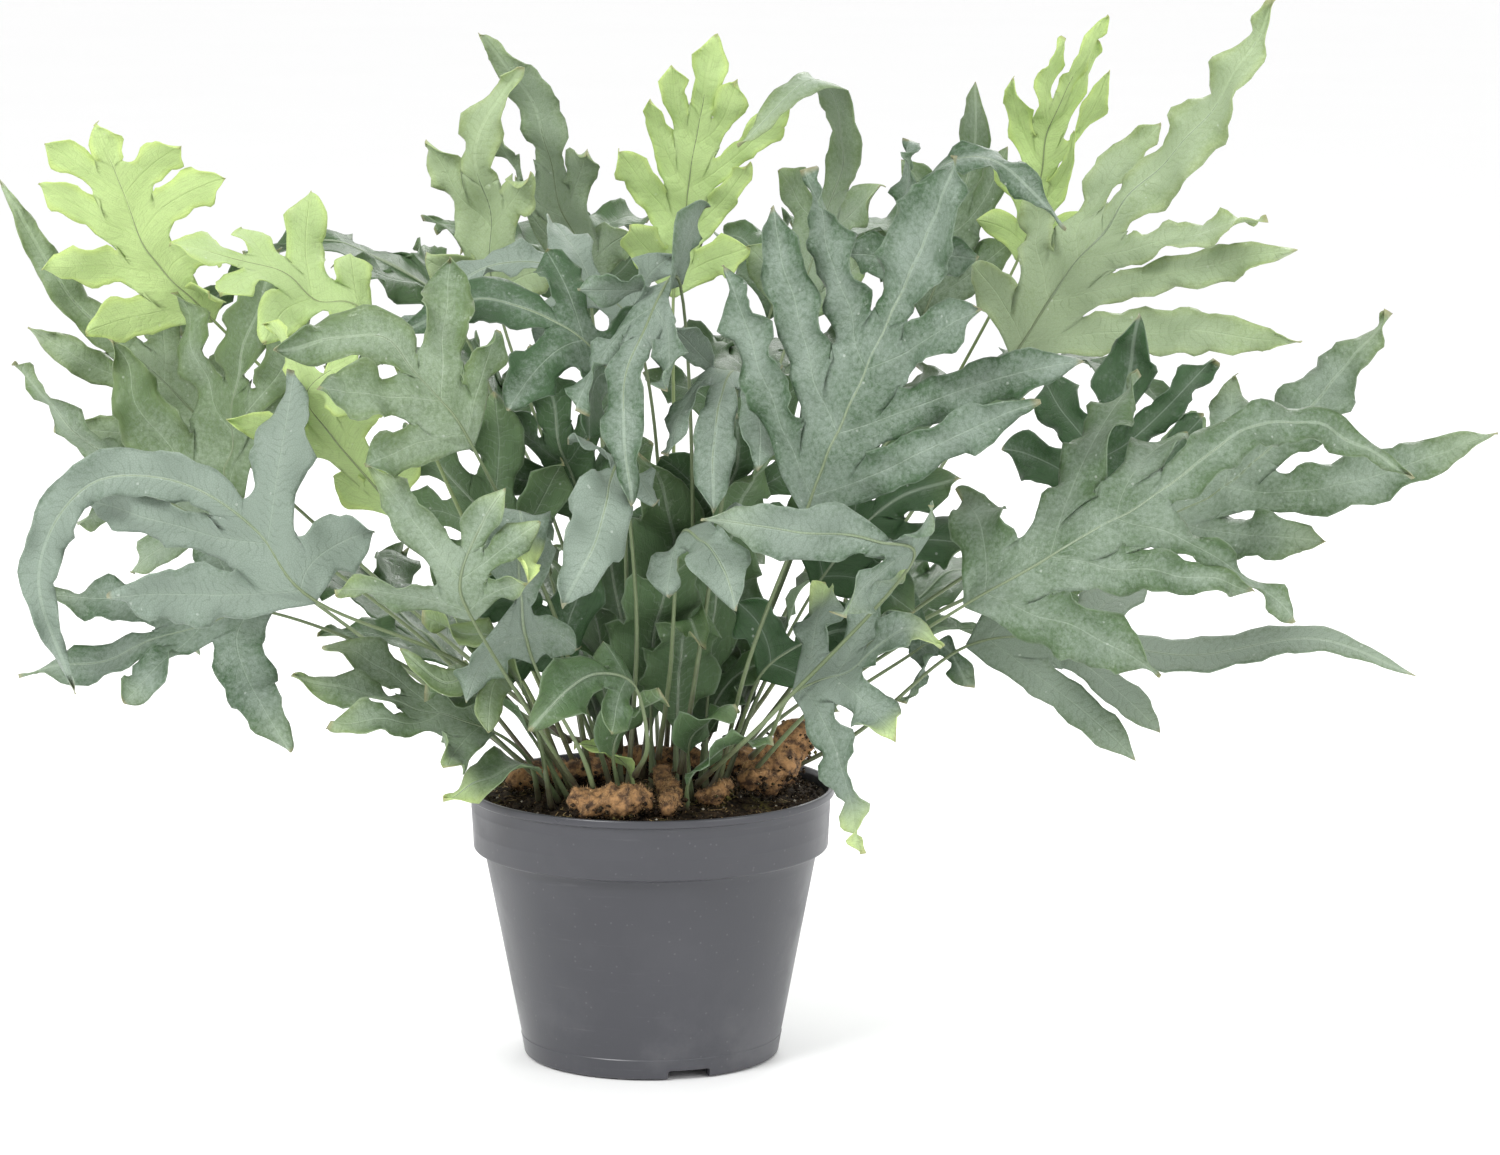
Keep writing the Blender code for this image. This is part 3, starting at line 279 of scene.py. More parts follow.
# long shallow scuffs around the wall, from stacking and handling
around = wire("Mapping", {"vector_type": "POINT"}, Vector=place, Scale=(14.0, 14.0, 260.0)).outputs[0]
scuff = wire.ramp(wire("TexNoise", None, Vector=around, Scale=1.6, Detail=5.0, Roughness=0.7).outputs["Fac"],
                  0.6, 0.74)
colour = wire.mix(wire.math("MULTIPLY", scuff, 0.22), colour, POT_GREY_DUSTY)
grain = wire("TexNoise", None, Vector=place, Scale=900.0, Detail=2.0).outputs["Fac"]
ripple = wire("TexNoise", None, Vector=place, Scale=55.0, Detail=2.0).outputs["Fac"]
relief = wire.math("ADD", wire.math("MULTIPLY", grain, 0.35), wire.math("MULTIPLY", ripple, 1.2))
bump = wire("Bump", None, Strength=0.12, Distance=0.0006, Height=relief)
gloss = wire.math("ADD", wire.ramp(cloud, 0.2, 0.8, 0.26, 0.36), wire.math("MULTIPLY", dust["Patches"], 0.14))
surface = wire("BsdfPrincipled", None,
               **{"Base Color": colour, "Roughness": gloss, "Normal": bump.outputs[0]})
surface.inputs["Specular IOR Level"].default_value = 0.5
wire.feed(end.inputs["Surface"], surface.outputs[0])
pot.data.materials.clear()
pot.data.materials.append(plastic)
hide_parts("pot")
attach(pot, "root")


# ---- Soil ----
# Peat based potting soil, dark and crumbly, filled to just under the lip and mounded in the middle, with
# green moss, yellow fibres and pale grit on top.  It is poured in and pressed, and follows the pot's taper.
soil_low, soil_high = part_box("soil")
SOIL_RADIUS = (soil_high[0] - soil_low[0]) / 2
SOIL_EDGE = POT_HEIGHT - 5.0 * MM
SOIL_CROWN = soil_high[2] - SOIL_EDGE
CRUMBS, GRIT, FIBRES = 2600, 170, 420
rng = np.random.default_rng(11)


def soil_height(x, y):
    share = min(1.0, math.hypot(x, y) / SOIL_RADIUS)
    return SOIL_EDGE + SOIL_CROWN * (1.0 - share * share)


def crumbly(x, y):
    """Lumps and crumbs of the soil's top above its mean height."""
    edge = min(1.0, (SOIL_RADIUS - math.hypot(x, y)) / (6 * MM))
    lump = noise.noise(Vector((x * 60, y * 60, 1.0))) * 1.8 * MM
    crumb = noise.noise(Vector((x * 210, y * 210, 5.0))) * 1.3 * MM
    fine = abs(noise.noise(Vector((x * 520, y * 520, 9.0)))) * 0.9 * MM
    return (lump + crumb + fine) * max(0.35, edge) - 0.4 * MM


rings, spokes = 90, 240
points = [(0.0, 0.0, soil_height(0, 0))]
for i in range(1, rings + 1):
    r = (SOIL_RADIUS - 0.2 * MM) * i / rings
    for k in range(spokes):
        a = math.tau * k / spokes
        x, y = r * math.cos(a), r * math.sin(a)
        points.append((x, y, soil_height(x, y) + crumbly(x, y)))
faces = [(0, 1 + k, 1 + (k + 1) % spokes) for k in range(spokes)]
for i in range(1, rings):
    a, b = 1 + (i - 1) * spokes, 1 + i * spokes
    faces += [(a + k, b + k, b + (k + 1) % spokes, a + (k + 1) % spokes) for k in range(spokes)]
last = 1 + (rings - 1) * spokes
sides = [(SOIL_RADIUS - 0.6 * MM, BAND_LOW + 6 * MM), (body_top - WALL - 1.4 * MM, BAND_LOW + 3.5 * MM),
         (BASE_RADIUS + slope * soil_low[2] - WALL - 1.0 * MM, soil_low[2] + 0.5 * MM)]
for r, z in sides:
    start = len(points)
    points += [(r * math.cos(math.tau * k / spokes), r * math.sin(math.tau * k / spokes), z)
               for k in range(spokes)]
    faces += [(last + k, start + k, start + (k + 1) % spokes, last + (k + 1) % spokes) for k in range(spokes)]
    last = start
points.append((0.0, 0.0, sides[-1][1]))
faces += [(last + k, len(points) - 1, last + (k + 1) % spokes) for k in range(spokes)]


def add_crumb(points, faces, place, size, squash=1.0):
    """One angular crumb: an octahedron knocked out of shape."""
    start = len(points)
    for corner in ((1, 0, 0), (0, 1, 0), (-1, 0, 0), (0, -1, 0), (0, 0, 1), (0, 0, -1)):
        jog = rng.uniform(0.55, 1.25) * size
        points.append((place[0] + corner[0] * jog, place[1] + corner[1] * jog,
                       place[2] + corner[2] * jog * squash))
    for k in range(4):
        n = (k + 1) % 4
        faces.append((start + k, start + n, start + 4))
        faces.append((start + n, start + k, start + 5))


def random_spot(margin):
    """A random place on the soil, no nearer to its edge than the margin."""
    r = (SOIL_RADIUS - margin) * math.sqrt(rng.uniform(0, 1))
    a = rng.uniform(0, math.tau)
    return r * math.cos(a), r * math.sin(a)


crumb_from = len(faces)
for k in range(CRUMBS):
    x, y = random_spot(2 * MM)
    size = rng.choice([0.5, 0.8, 1.2, 1.9], p=[0.42, 0.33, 0.18, 0.07]) * MM
    add_crumb(points, faces, (x, y, soil_height(x, y) + crumbly(x, y) + size * 0.25), size, 0.8)
grit_from = len(faces)
for k in range(GRIT):
    x, y = random_spot(3 * MM)
    size = rng.uniform(0.4, 0.9) * MM
    add_crumb(points, faces, (x, y, soil_height(x, y) + crumbly(x, y) + size * 0.4), size)
fibre_from = len(faces)
for k in range(FIBRES):
    x, y = random_spot(4 * MM)
    turn = rng.uniform(0, math.tau)
    length, width = rng.uniform(2.0, 8.0) * MM, rng.uniform(0.12, 0.35) * MM
    start = len(points)
    for s in np.linspace(-0.5, 0.5, 5):
        px = x + math.cos(turn) * s * length + math.sin(turn) * (s * s) * length * 0.5
        py = y + math.sin(turn) * s * length - math.cos(turn) * (s * s) * length * 0.5
        pz = soil_height(px, py) + crumbly(px, py) + 0.5 * MM
        points.append((px - math.sin(turn) * width, py + math.cos(turn) * width, pz))
        points.append((px + math.sin(turn) * width, py - math.cos(turn) * width, pz + 0.1 * MM))
    faces += [(start + 2 * j, start + 2 * j + 1, start + 2 * j + 3, start + 2 * j + 2) for j in range(4)]
mesh = bpy.data.meshes.new("potting_soil")
mesh.from_pydata(points, [], faces)
mesh.update()
soil = show("potting_soil", mesh)

peat, wire, end = finish("peat")
place = wire("NewGeometry").outputs["Position"]
broad = wire("TexNoise", None, Vector=place, Scale=38.0, Detail=5.0, Roughness=0.6).outputs["Fac"]
fine = wire("TexNoise", None, Vector=place, Scale=420.0, Detail=6.0, Roughness=0.7).outputs["Fac"]
colour = wire.mix(wire.ramp(fine, 0.36, 0.66), (0.006, 0.004, 0.003), (0.062, 0.040, 0.022))
moss = wire.math("MULTIPLY", wire.ramp(broad, 0.50, 0.64), wire.ramp(fine, 0.42, 0.58))
colour = wire.mix(wire.math("MULTIPLY", moss, 0.85), colour, (0.135, 0.125, 0.030))
dust = use_group(wire, dust_group, Position=place, Patch_Size=60.0, Speck_Size=700.0)
colour = wire.mix(wire.math("MULTIPLY", dust["Specks"], 0.8), colour, (0.42, 0.36, 0.25))
bump = wire("Bump", None, Strength=0.8, Distance=0.0008, Height=fine)
surface = wire("BsdfPrincipled", None, **{"Base Color": colour, "Normal": bump.outputs[0]})
surface.inputs["Roughness"].default_value = 0.93
surface.inputs["Specular IOR Level"].default_value = 0.2
wire.feed(end.inputs["Surface"], surface.outputs[0])


def tinted(name, dark, light, scale, roughness=0.85):
    """A matt, grainy natural material between two tones."""
    made, wire, end = finish(name)
    place = wire("NewGeometry").outputs["Position"]
    grain = wire("TexNoise", None, Vector=place, Scale=scale, Detail=4.0, Roughness=0.65).outputs["Fac"]
    colour = wire.mix(wire.ramp(grain, 0.34, 0.66), dark, light)
    bump = wire("Bump", None, Strength=0.5, Distance=0.0004, Height=grain)
    surface = wire("BsdfPrincipled", None, **{"Base Color": colour, "Normal": bump.outputs[0]})
    surface.inputs["Roughness"].default_value = roughness
    wire.feed(end.inputs["Surface"], surface.outputs[0])
    return made


soil.data.materials.append(peat)
soil.data.materials.append(tinted("pale_grit", (0.30, 0.27, 0.21), (0.62, 0.58, 0.48), 900.0))
soil.data.materials.append(tinted("peat_fibre", (0.13, 0.08, 0.03), (0.36, 0.25, 0.11), 500.0))
kinds = np.zeros(len(faces), dtype=np.int32)
kinds[grit_from:fibre_from] = 1
kinds[fibre_from:] = 2
soil.data.polygons.foreach_set("material_index", kinds)
soil.data.polygons.foreach_set("use_smooth", np.arange(len(faces)) < crumb_from)
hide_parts("soil")
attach(soil, "root")


# ---- Rhizomes ----
# Creeping stems as thick as a finger that lie on the soil and root into it.  Each is a fleshy core under a
# coat of golden brown hairs; the stalks of the fronds grow up out of them.
# name, thickness against the usual, points (x, y, lift above the soil) in layout centimetres
RHIZOMES = [
    ("rhizome_front", 1.15, [(-3.4, -6.3, 0.0), (-2.0, -6.7, 0.0), (-0.9, -6.6, 0.0), (-0.1, -5.9, 0.1)]),
    ("rhizome_middle", 0.80, [(0.9, -6.9, 0.0), (0.95, -5.6, 0.0), (0.8, -4.2, 0.2), (0.5, -3.2, 0.7)]),
    ("rhizome_right", 1.55, [(4.3, -3.4, 0.0), (5.3, -2.7, 0.2), (6.2, -2.0, 1.1), (6.9, -1.5, 2.3)]),
    ("rhizome_small", 0.70, [(2.2, -4.6, 0.0), (3.0, -4.4, 0.0), (3.6, -3.7, 0.4)]),
    ("rhizome_left", 0.95, [(-6.4, -1.2, 0.0), (-5.0, -0.8, 0.0), (-3.4, -0.6, 0.0), (-2.0, -1.2, 0.2)]),
    ("rhizome_back", 1.00,
     [(-3.0, 3.2, 0.0), (-1.0, 2.0, 0.0), (1.6, 1.2, 0.0), (3.4, 1.4, 0.1), (5.2, 2.6, 0.2)]),
]
RHIZOME_RADIUS = 6.75 * MM
HAIR_LENGTH = 2.0 * MM
HAIRS_PER_CM = 260
CRUMBS_PER_CM = 60
CURVE_STEPS = 24
pot_scale = 2 * SOIL_RADIUS / 16.15


def unit(v):
    v = np.asarray(v, float)
    return v / np.maximum(np.linalg.norm(v, axis=-1, keepdims=True), 1e-9)


def run_through(points):
    """A smooth curve through the points, with the distance along it."""
    p = np.array(points, float)
    p = np.vstack([2 * p[0] - p[1], p, 2 * p[-1] - p[-2]])
    t = np.linspace(0.0, 1.0, CURVE_STEPS, endpoint=False)[:, None]
    out = []
    for k in range(1, len(p) - 2):
        a, b, c, d = p[k - 1:k + 3]
        out.append(0.5 * (2 * b + (c - a) * t + (2 * a - 5 * b + 4 * c - d) * t ** 2
                          + (3 * b - a - 3 * c + d) * t ** 3))
    curve = np.vstack(out + [p[-2:-1]])
    return curve, np.r_[0.0, np.cumsum(np.linalg.norm(np.diff(curve, axis=0), axis=1))]


def at(curve, along, where):
    where = np.atleast_1d(where)
    return np.stack([np.interp(where, along, curve[:, k]) for k in range(curve.shape[1])], 1)


def carry(first, tangents):
    """Take a side direction along a curve without spinning it."""
    out = []
    side = first
    for t in tangents:
        side = unit(side - t * np.dot(side, t))
        out.append(side)
    return np.array(out)


def tube(curve, radii, sides, first_side):
    """A closed tube with rounded ends: points, quads and triangles."""
    heading = unit(np.gradient(curve, axis=0))
    across = carry(first_side, heading)
    up = np.cross(across, heading)
    angles = np.linspace(0.0, math.tau, sides, endpoint=False)
    ring = (np.cos(angles)[None, :, None] * across[:, None, :]
            + np.sin(angles)[None, :, None] * up[:, None, :])
    points = (curve[:, None, :] + ring * radii[:, None, None]).reshape(-1, 3)
    count = len(curve)
    faces = []
    for i in range(count - 1):
        for k in range(sides):
            n = (k + 1) % sides
            faces.append((i * sides + k, i * sides + n, (i + 1) * sides + n, (i + 1) * sides + k))
    ends = np.vstack([curve[0] - heading[0] * radii[0] * 0.7, curve[-1] + heading[-1] * radii[-1] * 0.7])
    points = np.vstack([points, ends])
    for k in range(sides):
        n = (k + 1) % sides
        faces.append((len(points) - 2, n, k))
        faces.append((len(points) - 1, (count - 1) * sides + k, (count - 1) * sides + n))
    return points, faces, ring.reshape(-1, 3)


fur = tinted("rhizome_fur", (0.052, 0.027, 0.014), (0.39, 0.215, 0.088), 250.0)
hair = tinted("rhizome_hair", (0.085, 0.040, 0.018), (0.62, 0.40, 0.19), 210.0, 0.7)
rhizome_rests = []
for number, (name, share, knots) in enumerate(RHIZOMES):
    rng = np.random.default_rng(100 + number)
    core = RHIZOME_RADIUS * share * 0.93
    line = []
    for x, y, lift in knots:
        px, py = x * pot_scale, y * pot_scale
        line.append((px, py, soil_height(px, py) + core * 1.06 + 0.8 * MM + lift * CM))
        rhizome_rests.append((px, py, line[-1][2], core))
    curve, along = run_through(line)
    steps = np.linspace(0.0, along[-1], 70)
    curve = at(curve, along, steps)
    swell = 0.62 + 0.38 * np.sin(np.clip(steps / along[-1], 0.0, 1.0) * math.pi) ** 0.5
    radii = core * swell
    points, faces, outward = tube(curve, radii, 44, np.array([0.0, 0.0, 1.0]))
    for k in range(len(outward)):
        p = Vector(points[k])
        knob = (noise.noise(p * 105.0) * 0.34 + noise.noise(p * 260.0) * 0.26
                + noise.noise(p * 700.0) * 0.08 - 0.03)
        points[k] += outward[k] * core * knob
    body_faces = len(faces)
    points = [tuple(p) for p in points]
    for k in range(int(HAIRS_PER_CM * along[-1] / CM)):
        i = rng.integers(0, len(outward))
        out = unit(outward[i] + rng.normal(0.0, 0.35, 3))
        root = np.array(points[i]) + rng.normal(0.0, 0.35 * MM, 3)
        lean = unit(np.cross(out, rng.normal(0.0, 1.0, 3)))
        length = HAIR_LENGTH * rng.uniform(0.35, 1.0)
        width = np.cross(out, lean) * 0.09 * MM
        start = len(points)
        middle = root + out * length * 0.5 + lean * length * 0.22
        tip = root + out * length * 0.72 + lean * length * 0.75
        points += [tuple(root - width), tuple(root + width), tuple(middle + width * 0.8),
                   tuple(middle - width * 0.8), tuple(tip)]
        faces += [(start, start + 1, start + 2, start + 3), (start + 3, start + 2, start + 4)]
    hair_faces = len(faces)
    for k in range(int(CRUMBS_PER_CM * along[-1] / CM)):
        i = rng.integers(0, len(outward))
        if outward[i][2] < 0.55 - 0.9 * rng.uniform(0.0, 1.0) ** 2:
            out = np.array([outward[i][0], outward[i][1], 0.0]) * rng.uniform(0.0, 3.5) * MM
            spot = np.array(points[i]) + out
            spot[2] = max(spot[2] - rng.uniform(0.0, 2.0) * MM, soil_height(spot[0], spot[1]))
            add_crumb(points, faces, tuple(spot), rng.uniform(0.5, 1.7) * MM, 0.8)
    mesh = bpy.data.meshes.new(name)
    mesh.from_pydata(points, [], faces)
    mesh.update()
    stem = show("furry_" + name, mesh)
    stem.data.materials.append(fur)
    stem.data.materials.append(hair)
    stem.data.materials.append(peat)
    kinds = np.zeros(len(faces), dtype=np.int32)
    kinds[body_faces:] = 1
    kinds[hair_faces:] = 2
    mesh.polygons.foreach_set("material_index", kinds)
    mesh.shade_smooth()
    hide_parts(name)
    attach(stem, "root")


# ---- Fronds ----
# Each frond grows as one piece: a wiry stalk that runs on as the midrib of a thin, leathery blade cut into
# long wavy lobes.  A grey wax covers the green of mature blades; young blades are thinner and brighter, and
# they let light through.
# name, tone, foot (x, y), lobe width, web width, end lobe width, share of blade before the end lobe, sag,
# stalk points, blade points, lobe tips in pairs.  Layout centimetres; heights are measured from the soil
# edge.  A missing tip mirrors the tip on the other side.
FRONDS = [
    ["frond_lime_left", "lime", (-4, 1.5), 2.7, 1.3, 2.0, 0.8, 0.1,
     [(-6, 3, 4.4), (-12.5, 5, 13.4), (-20.5, 6, 21.4)],
     [(-23.5, 5, 24.9), (-24.5, 4, 27.9), (-25.5, 3, 30.9)],
     [((-26.5, 6, 20.9), (-20.5, 4, 22.9)), ((-28.5, 6, 23.9), (-19.5, 3, 24.9)),
      ((-28.5, 5, 27.9), (-19.5, 2, 28.4)), ((-28, 4, 29.9), (-21.5, 2, 29.9))]],
    ["frond_lime_fold", "lime", (-3.2, 0.5), 2.5, 0.72, 2.6, 0.66, 0.15,
     [(-5, 0, 4.9), (-9, -2, 14.4), (-12.5, -3, 22.4)],
     [(-15, -3, 23.4), (-17, -3, 24.9), (-21.5, -4, 25.9)],
     [((-12.5, -6, 20.9), (-13.5, -1, 25.4)), ((-17, -6, 21.9), (-15.5, 1, 27.9)),
      ((-19, -6, 23.9), (-18.5, -1, 26.4))]],
    ["frond_lime_top", "lime", (0.6, 3), 2.4, 0.66, 2.4, 0.68, 0.0,
     [(1, 5, 6.9), (1, 7, 15.9), (1, 7, 22.4)],
     [(1.5, 7, 25.9), (2, 6, 29.4), (3, 4, 34.9)],
     [((-1, 5, 25.9), (4.5, 5, 24.9)), ((-1.5, 5, 29.4), (4.5, 4, 28.9)),
      ((0, 5, 31.9), (6.5, 3, 31.9)), ((1, 4, 33.4), (4, 3, 32.9))]],
    ["frond_lime_right", "lime", (2.6, 3.8), 1.5, 0.48, 1.4, 0.64, 0.05,
     [(6, 7, 4.4), (12.5, 12, 14.4), (17.5, 14, 23.4)],
     [(18.5, 13, 27.4), (19, 12, 30.4), (21.5, 10, 35.4)],
     [((15.5, 14, 25.4), (21, 12, 25.9)), ((16, 12, 28.9), (20, 11, 29.9)),
      ((17, 11, 32.4), (21.5, 9, 32.9)), ((19.5, 10, 34.4), None)]],
    ["frond_lime_curl", "lime", (-3.6, -1.6), 1.7, 0.6, 1.7, 0.84, 0.2,
     [(-6, -3, 6.4), (-11, -5, 13.9)],
     [(-14, -6, 17.9), (-15, -6, 19.9), (-12.5, -8, 21.9)],
     [((-14, -5, 15.9), (-10, -6, 17.4)), ((-18.6, -6, 18.7), (-11, -8, 19.9)),
      ((-16.9, -4, 22.8), None)]],
    ["frond_front_broad", "mature", (3, -3), 2.9, 1.2, 4.4, 0.52, 0.2,
     [(4.5, -7, 7.4), (7, -12, 14.9)],
     [(8.5, -13, 18.9), (11, -13, 24.4), (13.5, -15, 30.9)],
     [((3.5, -12, 25.9), (17, -16, 20.4)), ((5.5, -11, 28.4), (19, -14, 21.9)),
      ((7, -10, 29.9), (14.5, -16, 24.4))]],
    ["frond_front_low", "mature", (2.2, -4.4), 2.4, 1.0, 2.7, 0.3, 0.2,
     [(5.5, -9, 5.4), (11.5, -14, 12.9)],
     [(10, -16, 14.4), (6.5, -16.5, 14.9), (2.5, -16, 15.4)],
     [((12.5, -16, 15.9), (8.5, -18, 11.4))]],
    ["frond_right_main", "mature", (3.8, -2.2), 2.8, 1.2, 2.2, 0.42, 0.25,
     [(8, -7, 5.9), (14, -12, 10.9)],
     [(18, -13, 13.4), (22.5, -12, 15.9), (26.5, -10, 18.4), (30, -9, 18.4), (34, -8, 15.9)],
     [((14, -8, 14.9), (22.5, -15, 8.4)), ((22, -7, 20.4), (26.5, -14, 11.9)),
      ((24, -8, 17.9), (28.5, -13, 10.4))]],
    ["frond_left_main", "mature", (-3, -3.2), 3.0, 1.4, 2.4, 0.22, 0.15,
     [(-7.5, -7, 6.9), (-14.5, -11, 10.9)],
     [(-17, -11, 13.9), (-20, -10, 15.9), (-24.5, -9, 15.9), (-27, -9, 11.9), (-25.5, -9, 6.4)],
     [((-23.5, -13, 11.4), (-12, -10, 13.9)), ((-25.5, -7, 14.9), (-15.5, -9, 20.9))]],
    ["frond_left_low", "mature", (-4.2, -2.4), 2.5, 1.0, 2.5, 0.42, 0.2,
     [(-10.5, -4, 6.4), (-17, -5, 9.4)],
     [(-20, -5, 8.9), (-24, -5, 7.4), (-28.5, -5, 6.4)],
     [((-16, -9, 3.9), (-20.5, -1, 12.9)), ((-23.5, -8, 5.9), (-28, -2, 9.4))]],
    ["frond_left_rim", "mature", (-5, -3), 2.2, 0.9, 2.0, 0.42, 0.2,
     [(-5.5, -4, 2.4), (-7, -5, 3.9)],
     [(-9.5, -6, 4.9), (-12, -7, 5.9), (-16, -8, 6.9)],
     [((-9, -9, 2.9), (-8.5, -3, 6.9)), ((-14, -10, 5.4), None)]],
    ["frond_fold_lime", "mature", (-2.2, -5.2), 2.3, 1.3, 3.1, 0.37, 0.2,
     [(-3, -8, 3.4), (-5, -12, 7.9)],
     [(-5.5, -15, 11.4), (-5.5, -17, 14.9), (-5, -20, 12.4)],
     [((-3, -14, 8.9), (-8, -12, 6.4))]],
    ["frond_light_hang", "mature", (-1, -4.2), 2.4, 1.2, 3.0, 0.25, 0.2,
     [(-0.5, -6, 8.9), (-1, -9, 16.4)],
     [(-1.5, -12, 16.4), (-2, -14, 14.4), (-3.5, -16, 11.4)],
     [((0.5, -12, 15.4), (-3.5, -10, 17.9))]],
    ["frond_centre_low", "mature", (-0.6, -5.6), 2.8, 1.4, 3.0, 0.3, 0.15,
     [(-0, -8, 3.9), (-0.5, -10, 6.9)],
     [(-2, -12, 7.9), (-3.5, -14, 7.4), (-5, -15, 5.9)],
     [((-2, -10, 8.9), (-1.5, -13, 5.4))]],
    ["frond_hang_long", "mature", (1.6, -1.6), 2.0, 0.8, 2.1, 0.36, 0.2,
     [(2, -2, 13.4), (1.5, -5, 24.4)],
     [(-0, -8, 22.9), (-1, -10, 20.4), (-0.5, -12, 15.4)],
     [((2.5, -3, 27.9), (-3, -7, 24.4)), ((1, -11, 20.4), (-3, -10, 19.4))]],
    ["frond_centre_wave", "mature", (1.4, -4), 2.5, 0.96, 2.7, 0.3, 0.2,
     [(2.5, -6, 8.9), (4, -9, 19.4)],
     [(3.5, -12, 20.4), (3, -14, 17.9), (3, -15, 14.9)],
     [((6, -11, 20.9), (1, -12, 22.9)), ((5, -15, 16.9), (1, -14, 17.4))]],
    ["frond_centre_grey", "mature", (0.4, -3.4), 2.6, 1.3, 2.8, 0.35, 0.2,
     [(1, -6, 6.9), (1.5, -10, 13.4)],
     [(2.5, -13, 13.9), (3.5, -15, 12.9), (4, -16, 11.4)],
     [((1, -13, 11.4), (5.5, -13, 14.4))]],
    ["frond_rim_right", "mature", (4.6, -3.8), 2.3, 1.0, 2.0, 0.45, 0.2,
     [(5.5, -6, 3.9), (6.5, -9, 6.4)],
     [(9, -11, 7.9), (11.5, -12, 9.9), (13, -12, 8.9)],
     [((8, -6, 10.9), (9.5, -13, -0.1)), ((11.5, -8, 12.9), (11, -14, 5.4))]],
    ["frond_right_droop", "mature", (5.3, -0.4), 1.8, 0.56, 1.6, 0.4, 0.2,
     [(8, -4, 3.9), (12, -7, 6.4)],
     [(13, -8, 6.9), (14, -9, 6.4), (14.5, -10, 4.9)],
     [((9, -9, 9.9), (11.5, -10, 4.4))]],
    ["frond_right_low", "mature", (5, 0.4), 2.5, 1.0, 2.4, 0.3, 0.2,
     [(9.5, 0, 2.9), (14.5, -2, 7.4)],
     [(19.5, -3, 7.9), (24.5, -4, 7.4), (30, -5, 8.4), (34.5, -6, 6.9)],
     [((17.5, 2, 10.9), (22, -6, 2.9)), ((23.5, 3, 10.4), (23, -7, 4.4))]],
    ["frond_right_tip", "mature", (4.6, 1), 2.6, 1.0, 3.0, 0.42, 0.1,
     [(12, 5, 6.9), (23, 7, 11.4)],
     [(27, 7, 13.4), (30.5, 6, 16.9), (34.5, 5, 21.9)],
     [((25.5, 9, 16.4), (31.5, 3, 11.4)), ((27.5, 9, 18.4), (39.5, 4, 16.4))]],
    ["frond_top_right", "mature", (3.4, 2.8), 2.3, 1.3, 3.2, 0.34, 0.08,
     [(8.5, 5, 6.9), (17, 8, 19.4)],
     [(19.5, 8, 23.4), (23, 8, 27.4), (26, 7, 30.9), (29, 6, 36.4)],
     [((15, 9, 23.9), (30.5, 5, 20.4)), ((18, 9, 27.4), (30, 5, 24.9)),
      ((24, 10, 30.4), (28.5, 4, 26.4))]],
    ["frond_dark_right", "mature", (4.2, -0.6), 2.7, 1.2, 2.9, 0.42, 0.1,
     [(11, -1, 7.9), (19, -3, 13.9)],
     [(20.5, -4, 16.9), (21.5, -4, 19.4), (22, -5, 22.9)],
     [((16, -2, 16.4), (25, -5, 18.4)), ((18, -1, 19.4), (25.5, -4, 20.9))]],
    ["frond_arch_right", "mature", (2.4, 1.2), 2.0, 0.9, 1.8, 0.3, 0.1,
     [(6, 2, 9.4), (11, 3, 23.4)],
     [(12.5, 2, 27.9), (15.5, 1, 29.4), (19, -1, 26.4)],
     [((9, 4, 24.9), (15, 1, 24.9)), ((12, 6, 29.9), None)]],
    ["frond_back_right", "mature", (3.2, 4.4), 2.2, 1.1, 2.4, 0.5, 0.1,
     [(7, 8, 8.4), (13, 11, 20.4)],
     [(14.5, 11, 24.9), (15.5, 10, 28.4), (15.5, 8, 31.9)],
     [((10.5, 12, 24.4), (17.5, 9, 24.4)), ((12, 12, 27.9), (17, 7, 28.9))]],
    ["frond_arch_top", "mature", (1.6, 1.8), 2.4, 1.2, 2.6, 0.36, 0.15,
     [(3.5, 4, 11.4), (6.5, 7, 20.9)],
     [(8, 7, 25.9), (9, 6, 29.9), (7.5, 4, 32.9), (4, 2, 29.9)],
     [((4.5, 8, 24.9), (10, 5, 24.4)), ((6, 9, 28.4), (10.5, 4, 27.9))]],
    ["frond_strip_tall", "mature", (-1.6, 2.4), 2.2, 1.1, 2.0, 0.5, 0.1,
     [(-3.5, 4, 11.4), (-7, 6, 21.4)],
     [(-7.5, 6, 25.9), (-8, 5, 29.9), (-6, 4, 33.4)],
     [((-10.5, 6, 24.4), (-4.5, 4, 23.9)), ((-10.5, 6, 29.9), (-5.5, 3, 28.4))]],
    ["frond_strip_high", "mature", (-0.6, 3.6), 2.1, 1.0, 2.2, 0.4, 0.1,
     [(-2, 6, 10.9), (-3, 9, 22.4)],
     [(-4.5, 9, 26.9), (-5.5, 8, 31.4), (-8, 6, 34.9)],
     [((-6.5, 9, 27.9), (-1, 8, 25.4)), ((-7.5, 8, 30.4), (-3, 7, 29.4))]],
    ["frond_arch_grey", "mature", (-0.4, 0.6), 1.8, 0.8, 1.7, 0.34, 0.15,
     [(0.5, 0, 11.9), (-0.5, -1, 21.4)],
     [(-3.5, -2, 24.4), (-7.5, -2, 24.9), (-11.5, -3, 21.4)],
     [((-1, -4, 19.4), (1, 2, 24.9)), ((-5, -5, 21.4), (-4.5, 2, 26.4))]],
    ["frond_arch_dark", "mature", (-1.4, -0.8), 2.6, 1.2, 2.6, 0.34, 0.15,
     [(-1, -4, 10.4), (-1.5, -7, 19.9)],
     [(-4, -8, 22.9), (-7.5, -8, 23.9), (-11, -9, 22.4)],
